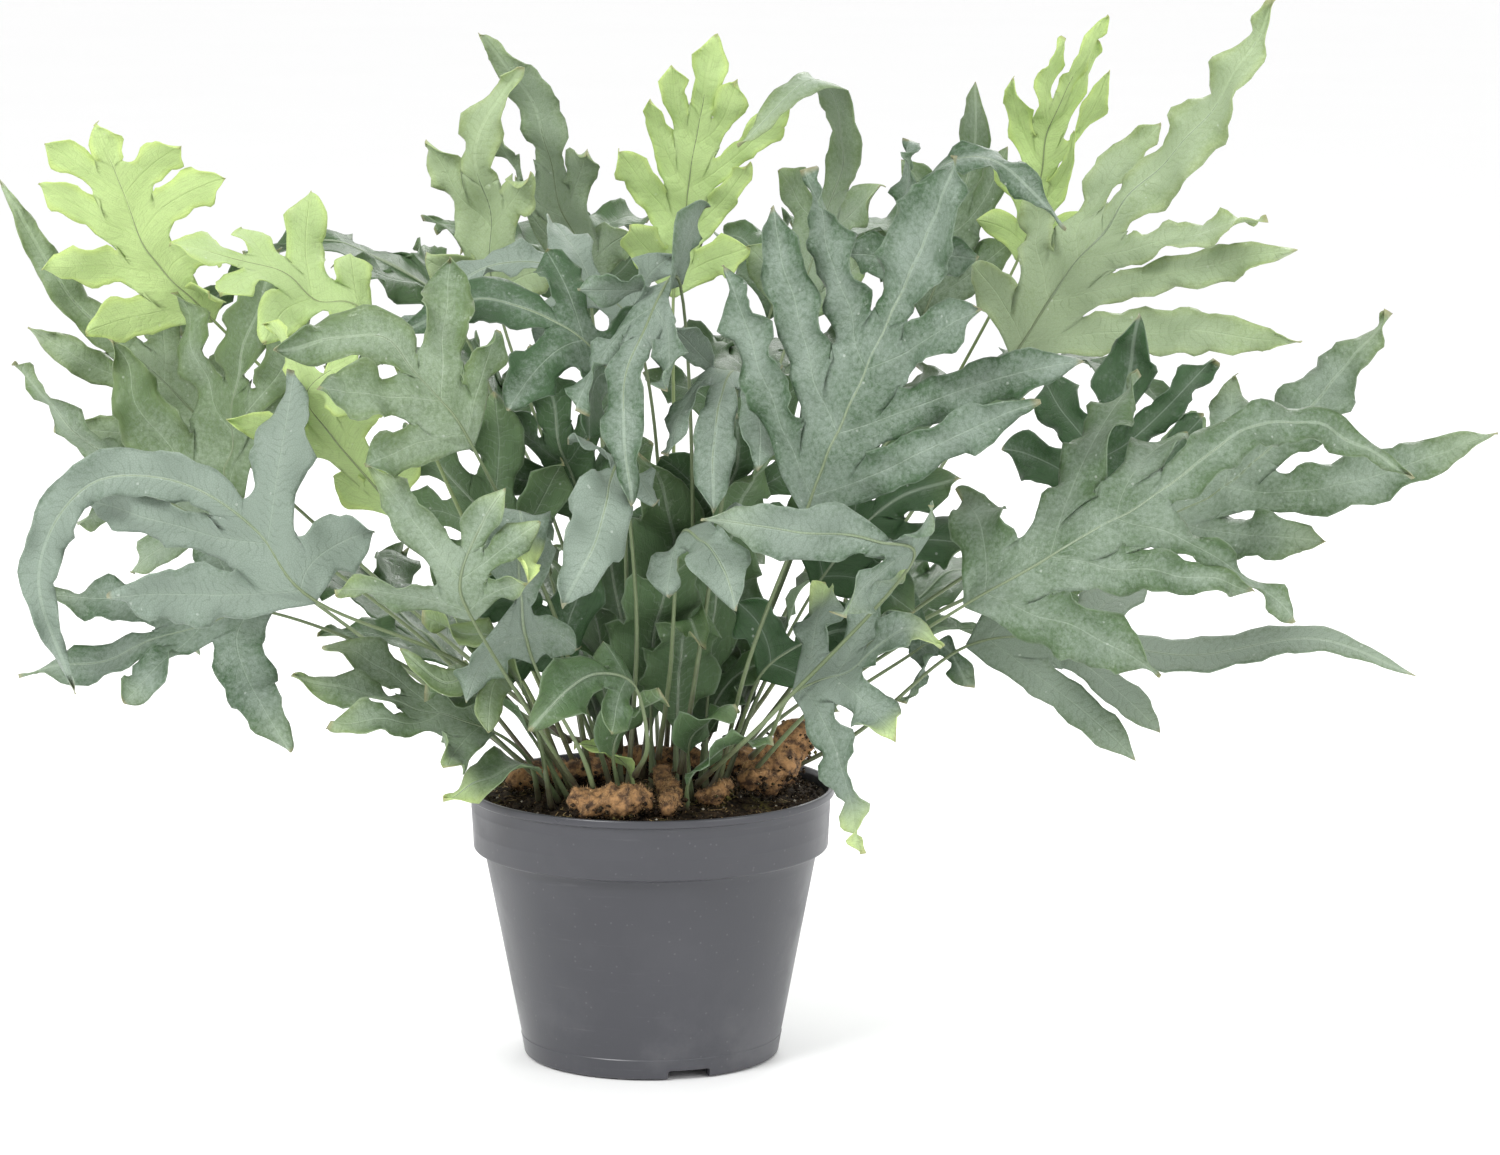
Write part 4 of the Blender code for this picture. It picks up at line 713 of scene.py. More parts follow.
     [((-2.5, -10, 17.9), (0.5, -5, 22.9)), ((-6, -11, 19.4), (-4.5, -5, 25.9))]],
    ["frond_olive_arch", "mature", (-2.6, -1.8), 3.0, 1.5, 2.8, 0.36, 0.1,
     [(-4, -6, 8.9), (-7.5, -12, 17.9)],
     [(-9.5, -13, 20.9), (-11.5, -13, 22.9), (-16, -14, 22.4)],
     [((-12, -15, 17.4), (-6.5, -11, 22.9)), ((-14, -16, 20.9), (-8.5, -10, 25.9))]],
    ["frond_left_broad", "mature", (-4.6, 0.4), 2.9, 1.3, 2.8, 0.4, 0.05,
     [(-10, 2, 6.4), (-19, 3, 13.4)],
     [(-19.5, 3, 15.9), (-19, 2, 19.9), (-17, 0, 25.4)],
     [((-25, 3, 20.9), (-14.5, 1, 19.4)), ((-22, 5, 22.9), (-15.5, -1, 22.4))]],
    ["frond_left_twist", "mature", (-3.8, 3.2), 1.8, 0.8, 1.6, 0.4, 0.1,
     [(-10.5, 6, 6.9), (-20, 9, 14.9)],
     [(-23.5, 9, 18.4), (-27.5, 8, 22.4), (-30.5, 7, 27.9)],
     [((-28.5, 9, 15.9), (-19, 9, 21.4)), ((-29.5, 8, 20.9), (-23.5, 10, 23.9))]],
    ["frond_left_thin", "mature", (-5, 1.8), 1.7, 0.7, 1.5, 0.4, 0.15,
     [(-11.5, 5, 4.9), (-20.5, 8, 10.9)],
     [(-23.5, 8, 12.9), (-26.5, 7, 15.4), (-30, 6, 19.4)],
     [((-25, 9, 8.9), (-20, 7, 15.9)), ((-27.5, 9, 11.4), (-23.5, 6, 18.9))]],
    ["frond_small_left", "mature", (-4.4, -4.4), 1.7, 0.7, 1.5, 0.4, 0.1,
     [(-5, -6, 3.9), (-6, -8, 6.4)],
     [(-7.5, -9, 7.4), (-9, -10, 6.9), (-11, -10, 8.4)],
     [((-7, -11, 4.9), (-9, -7, 9.9))]],
    ["frond_curly_left", "mature", (-2.8, -4), 1.9, 0.9, 1.8, 0.5, 0.15,
     [(-5, -8, 4.9), (-7.5, -13, 10.4)],
     [(-8, -14, 12.4), (-7, -14, 14.9), (-6, -14, 16.4)],
     [((-5, -15, 12.4), (-13.5, -14, 11.9)), ((-4.5, -14, 14.9), (-12, -13, 17.4))]],
    ["frond_inner_left", "mature", (-2, 0.8), 3.0, 1.4, 3.0, 0.5, 0.2,
     [(-4, 2, 5.4), (-6, 2, 9.9)],
     [(-8, 1, 13.4), (-10, 0, 15.9), (-11, -1, 17.4)],
     [((-10, 4, 8.9), (-4, 0, 15.4)), ((-12, 3, 12.4), (-7, -1, 18.9))]],
    ["frond_inner_high", "mature", (-0.9, 1.6), 3.0, 0.84, 2.8, 0.5, 0.2,
     [(-2, 2, 5.4), (-3, 2, 12.4)],
     [(-4, 1, 15.9), (-4.5, 0, 18.4), (-5.5, -1, 20.9)],
     [((-7.5, 2, 14.9), (0, 1, 16.4)), ((-8, 1, 18.4), (-1, -1, 19.4))]],
    ["frond_inner_centre", "mature", (1, 0.4), 3.0, 1.12, 2.8, 0.5, 0.2,
     [(2, 1, 5.9), (2.5, 1, 11.4)],
     [(3, 0, 14.4), (4, -1, 16.9), (4, -2, 19.9)],
     [((-1, 1, 13.9), (7, 0, 13.9)), ((0.5, -1, 17.4), (7.5, -1, 17.4))]],
    ["frond_inner_right", "mature", (3.3, -1), 3.0, 1.4, 2.8, 0.5, 0.2,
     [(5, -1, 4.9), (7.5, -2, 9.9)],
     [(9.5, -2, 12.4), (11.5, -3, 14.4), (14, -4, 15.4)],
     [((7, 0, 14.4), (12, -5, 9.4)), ((9.5, -1, 16.9), (15, -5, 12.4))]],
    ["frond_inner_low", "mature", (2.6, -2.8), 2.8, 1.3, 2.8, 0.45, 0.2,
     [(4, -3, 3.4), (5, -5, 6.4)],
     [(6.5, -6, 7.9), (8.5, -7, 8.9), (10, -8, 8.9)],
     [((4, -5, 9.9), (8.5, -8, 5.4))]],
    ["frond_inner_front", "mature", (-1.7, -2.4), 2.8, 1.3, 2.8, 0.45, 0.2,
     [(-2.5, -3, 3.4), (-3.5, -4, 6.4)],
     [(-5, -5, 8.9), (-6.5, -6, 10.4), (-9, -7, 10.9)],
     [((-7, -5, 6.4), (-2.5, -5, 11.9))]],
]

# the far side of the crown repeats the same habit, one frond after another around the back
BACK_FRONDS = 9
for k in range(BACK_FRONDS):
    share = (k + 0.5) / BACK_FRONDS
    angle = math.radians(18.0 + 150.0 * share)
    lift = (15.0, 4.5, 21.0)[k % 3]
    reach = (18.5, 18.0, 15.0)[k % 3]
    out = np.array([math.cos(angle), math.sin(angle) * 0.95, 0.0])
    foot = out * (3.6 + 0.8 * (k % 2)) + np.array([0.5, 0.6, 0.0])
    rise = np.array([0.0, 0.0, 1.0])
    hub = foot + out * reach * 0.42 + rise * lift
    points = [tuple(foot + out * reach * 0.14 + rise * lift * 0.5), tuple(hub)]
    blade = [tuple(hub + out * reach * 0.34 + rise * 3.6), tuple(hub + out * reach * 0.66 + rise * 3.4),
             tuple(hub + out * reach * 0.98 - rise * 0.5)]
    FRONDS.append([f"frond_back_{k + 1}", "mature", (foot[0], foot[1]), 2.2, 1.1, 2.25, 0.60, 0.2,
                   points, blade, [(None, None)] * (3 if k % 2 else 2)])

# small undivided leaves low around the base, as young plants make; they grow from the rhizomes as well
YOUNG_LEAVES = [
    ["simple_leaf_1", "mature", (-1.2, -4.5), 0.0, 0.5, 3.0, 0.0, 0.1,
     [(-1.6, -5.4, 3.0)], [(-1.2, -6.0, 4.4), (-0.3, -6.5, 5.3), (0.8, -7.0, 6.1)], []],
    ["simple_leaf_2", "mature", (1.9, -3.6), 0.0, 0.5, 2.8, 0.0, 0.1,
     [(1.8, -4.6, 3.0)], [(2.1, -5.0, 4.1), (3.0, -5.6, 4.9), (4.0, -6.0, 5.5)], []],
    ["simple_leaf_3", "mature", (1.7, -5.0), 0.0, 0.5, 2.9, 0.0, 0.1,
     [(1.8, -5.8, 1.7)], [(2.3, -6.1, 2.5), (3.8, -6.5, 3.6), (5.6, -6.8, 4.1)], []],
    ["simple_leaf_4", "lime", (-0.5, -4.6), 0.0, 0.4, 1.5, 0.0, 0.1,
     [(-0.8, -5.4, 1.9)], [(-1.2, -5.7, 2.6), (-2.2, -6.0, 3.2), (-3.4, -6.1, 3.3)], []],
    ["simple_leaf_5", "mature", (-4.0, -2.6), 0.0, 0.6, 3.0, 0.0, 0.1,
     [(-5.4, -3.6, 4.4)], [(-6.4, -4.0, 6.0), (-8.0, -4.0, 7.1), (-10.0, -4.0, 7.2)], []],
    ["simple_leaf_6", "mature", (-3.6, -3.5), 0.0, 0.6, 2.4, 0.0, 0.1,
     [(-5.2, -4.3, 3.6)], [(-6.3, -4.8, 5.2), (-8.0, -5.0, 6.1), (-10.0, -5.0, 6.2)], []],
    ["simple_leaf_7", "mature", (-4.1, -3.4), 0.0, 0.6, 2.6, 0.0, 0.1,
     [(-5.0, -4.4, 2.3)], [(-5.8, -5.2, 3.0), (-7.5, -6.4, 3.0), (-9.2, -7.2, 2.4)], []],
    ["simple_leaf_8", "mature", (2.3, -1.0), 0.0, 0.6, 3.4, 0.0, 0.1,
     [(2.5, -0.4, 3.0)], [(2.9, 0.4, 4.2), (4.0, 0.8, 5.9), (5.8, 0.0, 6.9)], []],
    ["simple_leaf_9", "mature", (-2.0, -1.0), 0.0, 0.6, 3.4, 0.0, 0.1,
     [(-2.4, -0.4, 3.4)], [(-3.0, 0.0, 5.0), (-4.2, 0.0, 6.4), (-5.6, -1.0, 7.2)], []],
    ["simple_leaf_10", "mature", (0.2, 0.6), 0.0, 0.6, 3.2, 0.0, 0.1,
     [(0.0, 1.2, 3.0)], [(0.2, 1.6, 4.6), (0.6, 1.4, 6.4), (1.4, 0.6, 8.2)], []],
    ["simple_leaf_11", "mature", (1.4, 4.2), 0.0, 0.6, 3.2, 0.0, 0.1,
     [(1.8, 5.0, 2.6)], [(2.3, 5.8, 4.0), (3.0, 7.0, 5.0), (3.6, 8.6, 5.0)], []],
    ["simple_leaf_12", "mature", (-1.6, 4.0), 0.0, 0.6, 3.0, 0.0, 0.1,
     [(-2.2, 4.8, 2.4)], [(-2.8, 5.6, 3.6), (-3.8, 6.8, 4.4), (-4.8, 8.2, 4.2)], []],
]

# more of them, broader, fill the shaded middle of the crown, each a golden angle on; their darker green is
# painted shade
SHADE_LEAVES = 18
GOLDEN_ANGLE = 137.5
for k in range(SHADE_LEAVES):
    angle = math.radians(GOLDEN_ANGLE * k + 20.0)
    out = np.array([math.cos(angle), math.sin(angle), 0.0])
    start = np.array([0.4, 0.8, 0.0]) + out * (1.4 + 0.16 * k)
    low = 4.6 + 4.6 * ((k * 7) % SHADE_LEAVES) / (SHADE_LEAVES - 1)
    reach = 6.6 + 1.6 * ((k * 5) % SHADE_LEAVES) / (SHADE_LEAVES - 1)
    rise = np.array([0.0, 0.0, 1.0])
    hub = start + out * 0.9 + rise * low
    bend = [tuple(start + out * 0.2 + rise * low * 0.5)]
    blade = [tuple(hub), tuple(hub + out * reach * 0.30 + rise * reach * 0.46),
             tuple(hub + out * reach * 0.62 + rise * reach * (0.72 - 0.35 * (k % 3 == 0)))]
    YOUNG_LEAVES.append([f"shade_leaf_{k + 1}", "mature", (start[0], start[1]), 0.0, 0.7,
                         3.6 + 0.3 * (k % 3), 0.0, 0.1, bend, blade, []])

# the leaf's thickness is in metres; the other lengths are layout centimetres
LEAF_THICKNESS = 0.38 * MM
STALK_RADIUS = 0.125
LOBE_SPACING = 0.46
WEB_REACH = 1.3
BACK_LOBE = 8.0
COLUMNS = 12
WEB_ROWS = 4
ROW_SPACING = 0.26
LINE_POINTS = 33


def ease(x):
    x = np.clip(x, 0.0, 1.0)
    return x * x * (3.0 - 2.0 * x)


def side_directions(curve, along, tangent, stations, pairs):
    """The direction across the blade all along the frond, set by where its lobe tips lie."""
    known = []
    for i, (a, b) in enumerate(pairs):
        here = at(curve, along, stations[i])[0]
        t = unit(at(tangent, along, stations[i]))[0]
        if a is None and b is None:
            continue
        side = (here if a is None else np.array(a, float)) - (here if b is None else np.array(b, float))
        side = side - t * np.dot(side, t)
        if np.linalg.norm(side) > 0.3:
            known.append((stations[i], unit(side)))
    if not known:
        middle = len(along) // 2
        side = np.cross(tangent[middle], [0.0, 0.0, 1.0])
        known = [(along[middle], unit(side if np.linalg.norm(side) > 0.1 else np.array([1.0, 0.0, 0.0])))]
    start = int(np.argmin(np.abs(along - known[0][0])))
    after = carry(known[0][1], tangent[start:])
    before = carry(known[0][1], tangent[:start + 1][::-1])[::-1]
    across = np.vstack([before[:-1], after])
    turns = [0.0]
    for where, side in known[1:]:
        j = int(np.argmin(np.abs(along - where)))
        normal = np.cross(across[j], tangent[j])
        turn = math.atan2(np.dot(side, normal), np.dot(side, across[j]))
        turns.append(max(-1.2, min(1.2, turn - turns[-1])) + turns[-1])
    turn = np.interp(along, [where for where, side in known], turns)[:, None]
    return across * np.cos(turn) + np.cross(across, tangent) * np.sin(turn)


def lobe_outline(x):
    x = np.clip(x, 0.0, 1.0)
    neck = 1.0 - 0.3 * np.clip(1.0 - x / 0.35, 0.0, 1.0) ** 2
    return neck * (1.0 - np.clip((x - 0.3) / 0.7, 0.0, 1.0) ** 2.3)


def lobe_line(start, tip, out, t, sag):
    """The middle line of a lobe, the direction across it and the distance along it."""
    length = np.linalg.norm(tip - start)
    bend = start + unit(0.75 * out + 0.66 * t) * length * 0.36
    fall = unit(unit(tip - bend) + np.array([0.0, 0.0, -sag]))
    near = tip - fall * length * 0.33
    s = np.linspace(0.0, 1.0, LINE_POINTS)[:, None]
    path = (1 - s) ** 3 * start + 3 * (1 - s) ** 2 * s * bend
    path = path + 3 * (1 - s) * s ** 2 * near + s ** 3 * tip
    heading = unit(np.gradient(path, axis=0))
    broad = carry(unit(t - heading[0] * np.dot(t, heading[0])), heading)
    return path, broad, np.r_[0.0, np.cumsum(np.linalg.norm(np.diff(path, axis=0), axis=1))]


def clearance(spots, lines):
    """Distance from each point to the nearest of some lines."""
    line = np.vstack(lines)
    return np.linalg.norm(spots[:, None, :] - line[None, :, :], axis=2).min(axis=1)


class Waves:
    """The habit of one margin: slow ruffles across the sheet and a wavy outline, different on each side."""

    def __init__(self, rng, strength):
        self.length = rng.uniform(2.2, 4.0, 2)
        self.phase = rng.uniform(0.0, math.tau, 6)
        self.height = strength * rng.uniform(0.28, 0.60, 2)
        self.keel = rng.uniform(-0.05, 0.34) * strength
        self.curl = rng.uniform(-0.06, 0.06) * strength

    def lift(self, s, w, reach):
        """Height of the sheet above its middle surface, in centimetres."""
        side = (w > 0).astype(int)
        edge = np.abs(w) ** 2.2
        slow = np.sin(math.tau * s / self.length[side] + self.phase[side])
        quick = np.sin(math.tau * s / (self.length[side] * 0.37) + self.phase[side + 2])
        ruffle = self.height[side] * edge * (slow + 0.28 * quick)
        return ruffle + self.keel * np.abs(w) * reach * 0.5 + self.curl * (w * reach) ** 2

    def outline(self, s, side):
        wave = np.sin(math.tau * s / (self.length[side] * 0.8) + self.phase[4 + side])
        fine = np.sin(math.tau * s / (self.length[side] * 0.31) + self.phase[side])
        return 1.0 + 0.10 * wave + 0.03 * fine


class Buckles:
    """Slow buckles that lift a blade off its own plane and die away towards the stalk."""

    def __init__(self, rng, strength, hub, facing):
        self.hub, self.facing = hub, facing
        lengths = rng.uniform(1.6, 3.6, 4)
        self.ways = unit(rng.normal(size=(4, 3))) * (2.0 * math.pi / lengths)[:, None]
        self.phases = rng.uniform(0.0, 2.0 * math.pi, 4)
        self.heights = 0.042 * lengths * strength

    def __call__(self, points):
        away = points - self.hub
        grown = ease(np.linalg.norm(away, axis=1) / 4.0)
        lift = (np.sin(away @ self.ways.T + self.phases) * self.heights).sum(axis=1)
        return points + self.facing * (grown * lift)[:, None]


def sheet_normals(grid):
    down = np.gradient(grid, axis=0)
    over = np.gradient(grid, axis=1)
    return unit(np.cross(down, over))


def spread(left, middle, right, columns):
    """Points from the left margin over the midrib to the right margin, a row at a time."""
    w = np.linspace(-1.0, 1.0, columns + 1)
    grid = np.where((w < 0)[None, :, None],
                    middle[:, None, :] + (left - middle)[:, None, :] * (-w)[None, :, None],
                    middle[:, None, :] + (right - middle)[:, None, :] * w[None, :, None])
    return grid, np.broadcast_to(w, grid.shape[:2])


def frond_grids(foot, row, rng, calm):
    """The blade of one frond as grids of points, each with its distances from lobe and midrib."""
    name, tone, place, width, web, end_width, split, sag, stalk, blade, pairs = row
    curve, along = run_through([foot] + list(stalk) + list(blade))
    tangent = unit(np.gradient(curve, axis=0))
    hub = along[len(stalk) * CURVE_STEPS]
    last = hub + (along[-1] - hub) * split
    seams = np.linspace(hub, last, len(pairs) + 1)
    stations = seams[:-1] + 0.35 * np.diff(seams)
    across = side_directions(curve, along, tangent, stations, pairs)
    lobes = {}
    for i, pair in enumerate(pairs):
        for side in (1, -1):
            start = at(curve, along, stations[i])[0]
            t = unit(at(tangent, along, stations[i]))[0]
            out = unit(at(across, along, stations[i])[0])
            tip, other = (pair if side > 0 else pair[::-1])
            if tip is None and other is None:
                length = BACK_LOBE * (1.0 - 0.45 * abs(i / max(len(pairs) - 1, 1) - 0.35))
                tip = start + length * (0.78 * side * out + 0.62 * t) - np.array([0.0, 0.0, 1.0])
            elif tip is None:
                away = np.array(other, float) - start
                tip = start + away - 2.0 * np.dot(away, out) * out
            lobes[i, side] = lobe_line(start, np.array(tip, float), side * out, t, sag)
    end_line = at(curve, along, np.linspace(last, along[-1], LINE_POINTS))

    def reach_of(i, side):
        return min(WEB_REACH * web, 0.3 * lobes[min(i, len(pairs) - 1), side][2][-1])

    def hollow(i, side):
        """The bottom of the cut between two lobes, or of the one before the end lobe."""
        if i == 0:
            return at(curve, along, hub)[0] + side * unit(at(across, along, hub)[0]) * STALK_RADIUS
        path = lobes[i - 1, side][0]
        if i < len(pairs):
            line, gone = lobes[i, side][0], lobes[i, side][2]
        else:
            line, gone = end_line, np.linspace(0.0, along[-1] - last, LINE_POINTS)
        spot = at(line, gone, reach_of(i, side))[0]
        return (spot + path[np.argmin(np.linalg.norm(path - spot, axis=1))]) / 2.0

    strength = (0.55 if tone == "lime" else 1.0) * calm
    facing = np.cross(tangent, across)[len(along) // 2:].mean(axis=0)
    top = 1 if np.dot(facing, [0.0, -0.35, 1.0]) > 0 else -1
    buckles = Buckles(rng, strength, at(curve, along, hub)[0], unit(facing))
    tips = np.array([path[-1] for path, broad, far in lobes.values()] + [curve[-1]])
    grids = []
    for (i, side), (path, broad, far) in lobes.items():
        waves = Waves(rng, strength)
        beside = [lobes[k, side][0] for k in (i - 1, i + 1) if (k, side) in lobes]
        beside.append(end_line if i + 1 == len(pairs) else end_line[-1:])
        root = reach_of(i, side) / far[-1]
        v = np.linspace(0.0, 1.0, WEB_ROWS + 1)[:, None]
        low, high = hollow(i, side), hollow(i + 1, side)
        low_seam, high_seam = at(curve, along, seams[i])[0], at(curve, along, seams[i + 1])[0]
        middle = at(path, far, v[:, 0] * root * far[-1])
        web_grid, w = spread(low_seam + (low - low_seam) * v, middle, high_seam + (high - high_seam) * v,
                             COLUMNS)
        where = np.interp(w[0], [-1.0, 0.0, 1.0], [seams[i], stations[i], seams[i + 1]])
        web_grid = web_grid + ((1.0 - v) ** 2)[:, :, None] * (at(curve, along, where) - web_grid[0])[None]
        rows = int(np.clip(far[-1] / ROW_SPACING, 18, 46))
        x = 0.5 - 0.5 * np.cos(math.pi * (np.arange(1, rows + 1) / rows) ** 0.9)
        shares = root + (1.0 - root) * x
        middle = at(path, far, shares * far[-1])
        twist = rng.uniform(-0.8, 0.8) * strength * x ** 1.5
        heading = unit(at(unit(np.gradient(path, axis=0)), far, shares * far[-1]))
        wide = unit(at(broad, far, shares * far[-1]))
        wide = wide * np.cos(twist)[:, None] + np.cross(wide, heading) * np.sin(twist)[:, None]
        room = LOBE_SPACING * clearance(middle, beside)
        opened = np.sqrt(np.clip(x / 0.22, 0.0, 1.0))[:, None]
        edges = []
        for edge, corner in ((0, low), (1, high)):
            half = np.minimum(width / 2 * lobe_outline(x), room) * waves.outline(x * far[-1], edge)
            reach = wide * (half * (1 if edge else -1))[:, None]
            edges.append(middle + (corner - at(path, far, root * far[-1])[0]) * (1.0 - opened)
                         + reach * opened)
        lobe_grid, w = spread(edges[0], middle, edges[1], COLUMNS)
        grid = np.vstack([web_grid, lobe_grid])
        w = np.broadcast_to(w[0], grid.shape[:2])
        s = np.r_[v[:, 0] * root, shares][:, None] * far[-1] + 0.0 * w
        beyond = np.r_[np.zeros(WEB_ROWS + 1), x][:, None]
        reach = np.linalg.norm(grid - grid[:, COLUMNS // 2][:, None], axis=2)
        grown = ease(beyond / 0.3)
        ruffle = waves.lift(s, w, reach.max(axis=1)[:, None]) * grown
        grid = grid - sheet_normals(grid) * side * top * ruffle[:, :, None]
        rachis = np.linalg.norm(grid - (at(curve, along, where))[None], axis=2)
        margin = np.abs(w) * ease(beyond / 0.12)
        grids.append((grid, side * top, s, np.sign(w) * reach, where[None] + 0.0 * w, rachis, margin,
                      beyond + 0.0 * w))
    waves = Waves(rng, strength)
    rows = int(np.clip((along[-1] - last) / ROW_SPACING, 20, 56))
    x = 0.5 - 0.5 * np.cos(math.pi * np.linspace(0.0, 1.0, rows + 1) ** 0.9)
    u = last + (along[-1] - last) * x
    middle = at(curve, along, u)
    out = unit(at(across, along, u))
    turn = rng.uniform(-0.6, 0.6) * strength * x ** 2
    heading = unit(at(tangent, along, u))
    out = out * np.cos(turn)[:, None] + np.cross(out, heading) * np.sin(turn)[:, None]
    full = (web + (end_width / 2 - web) * ease(x / 0.3)) * (1.0 - np.clip((x - 0.25) / 0.75, 0.0, 1.0) ** 2.3)
    opened = np.sqrt(np.clip(x / 0.2, 0.0, 1.0))[:, None]
    edges = []
    for edge, side in ((0, -1), (1, 1)):
        half = full
        if pairs:
            half = np.minimum(full, np.maximum(
                LOBE_SPACING * clearance(middle, [lobes[len(pairs) - 1, side][0]]), 0.3))
        half = half * waves.outline(u, edge)
        corner = hollow(len(pairs), side) - middle[0]
        edges.append(middle + corner * (1.0 - opened) + side * out * half[:, None] * opened)
    grid, w = spread(edges[0], middle, edges[1], COLUMNS)
    reach = np.linalg.norm(grid - middle[:, None], axis=2)
    grown = ease(x / 0.3)[:, None]
    ruffle = waves.lift(u[:, None] + 0.0 * w, w, reach.max(axis=1)[:, None]) * grown
    grid = grid + sheet_normals(grid) * top * ruffle[:, :, None]
    flat = 0.0 * w
    grids.append((grid, -top, u[:, None] + flat, np.sign(w) * reach, u[:, None] + flat, reach, np.abs(w),
                  x[:, None] + flat))
    return grids, curve, along, hub, across, buckles, tips


def settled(points, foot, move, span):
    """Lean, turn and lift a frond from its foot, more the further out a point lies."""
    lean, turn, lift = move
    away = points - foot
    share = np.clip(np.linalg.norm(away, axis=1) / span, 0.0, 1.3)[:, None] ** 1.3
    angle = math.radians(turn) * share[:, 0]
    c, s = np.cos(angle), np.sin(angle)
    out = away.copy()
    out[:, 0] = away[:, 0] * c - away[:, 1] * s
    out[:, 1] = away[:, 0] * s + away[:, 1] * c + lean * share[:, 0]
    out[:, 2] = away[:, 2] + lift * share[:, 0]
    return foot + out


def gentle_moves(lean_reach, turn_reach, turn_step, lift_reach):
    """The changes of lean, turn and lift by which crowded leaves make way for each other, gentlest first."""
    moves = []
    for lean in range(-lean_reach, lean_reach + 1):
        for turn in range(-turn_reach, turn_reach + 1, turn_step):
            for lift in range(-lift_reach, lift_reach + 1):
                moves.append((abs(lean) / 3.0 + abs(turn) / 4.0 + abs(lift) / 0.8, (lean, turn, lift)))
    return [move for effort, move in sorted(moves)]


# lean and lift in centimetres, turn in degrees
FROND_MOVES = gentle_moves(9, 20, 5, 2)
LEAF_MOVES = gentle_moves(4, 40, 10, 3)


def move_in_frame(node, tips, foot, span):
    """The move that lays the tips of a frond on those of its solid in the frame."""
    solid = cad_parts[node].data.vertices
    tree = KDTree(len(solid))
    for k, corner in enumerate(solid):
        tree.insert(corner.co, k)
    tree.balance()
    return min(FROND_MOVES,
               key=lambda move: sum(tree.find(tip * CM)[2] for tip in settled(tips, foot, move, span)))


def surface_under(x, y):
    """Height of the soil, or of a rhizome lying there, in metres."""
    top = soil_height(x, y)
    for px, py, pz, radius in rhizome_rests:
        if math.hypot(x - px, y - py) < radius * 1.3:
            top = max(top, pz + radius * 1.06)
    return top


def frond_mesh(name, foot, row, rng, calm, youth, wax):
    """The finished frond: welded grids thickened into a leaf, and a round stalk that runs on as midrib."""
    grids, curve, along, hub, across, buckles, tips = frond_grids(foot, row, rng, calm)
    span = 0.8 * np.linalg.norm(np.array(row[9][-1]) - foot)
    move = move_in_frame(row[0], tips, foot, span) if row[0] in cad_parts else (0, 0, 0)
    points, faces, marks = [], [], []
    for grid, side, s, a, q, d, margin, tip in grids:
        start = sum(len(p) for p in points)
        rows, columns = grid.shape[:2]
        points.append(settled(buckles(grid.reshape(-1, 3)), foot, move, span))
        marks.append(np.stack([s, a, q, d, margin, tip], axis=2).reshape(-1, 6))
        index = start + np.arange(rows * columns).reshape(rows, columns)
        corner = [index[:-1, :-1], index[:-1, 1:], index[1:, 1:], index[1:, :-1]]
        quads = np.stack(corner if side > 0 else corner[::-1], axis=2).reshape(-1, 4)
        faces.append(quads)
    points, faces, marks = np.vstack(points) * CM, np.vstack(faces), np.vstack(marks)
    blade = bpy.data.meshes.new(name + "_blade")
    blade.from_pydata(points.tolist(), [], faces.tolist())
    corners = faces.reshape(-1)
    for label, columns in (("lobe", (0, 1)), ("midrib", (2, 3))):
        layer = blade.uv_layers.new(name=label)
        layer.uv.foreach_set("vector", marks[corners][:, columns].astype(np.float32).reshape(-1))
    lime = youth[0] + (youth[1] - youth[0]) * ease((marks[:, 5] - 0.55) / 0.4)
    if youth[2]:
        lime = youth[0] + (youth[1] - youth[0]) * ease((marks[:, 2] / along[-1] - 0.88) / 0.04)
    # the fourth channel holds the frond's wax, kept low on inner and back fronds as painted shade
    growth = np.stack([marks[:, 4], marks[:, 5], lime, np.full(len(marks), wax)], axis=1)
    blade.color_attributes.new("growth", "FLOAT_COLOR", "POINT").data.foreach_set(
        "color", growth.astype(np.float32).reshape(-1))
    leaf = bmesh.new()
    leaf.from_mesh(blade)
    bmesh.ops.remove_doubles(leaf, verts=leaf.verts, dist=0.06 * MM)
    leaf.to_mesh(blade)
    leaf.free()
    thing = show(name, blade)
    thick = thing.modifiers.new("thickness", "SOLIDIFY")
    thick.thickness = LEAF_THICKNESS
    thick.offset = 0.0
    thick.material_offset = 1
    for slot in range(3):
        thing.data.materials.append(None)
    apply_modifiers(thing)
    add_stalk(thing, foot, move, span, curve, along, hub, across, buckles)
    thing.data.shade_smooth()
    return thing, span


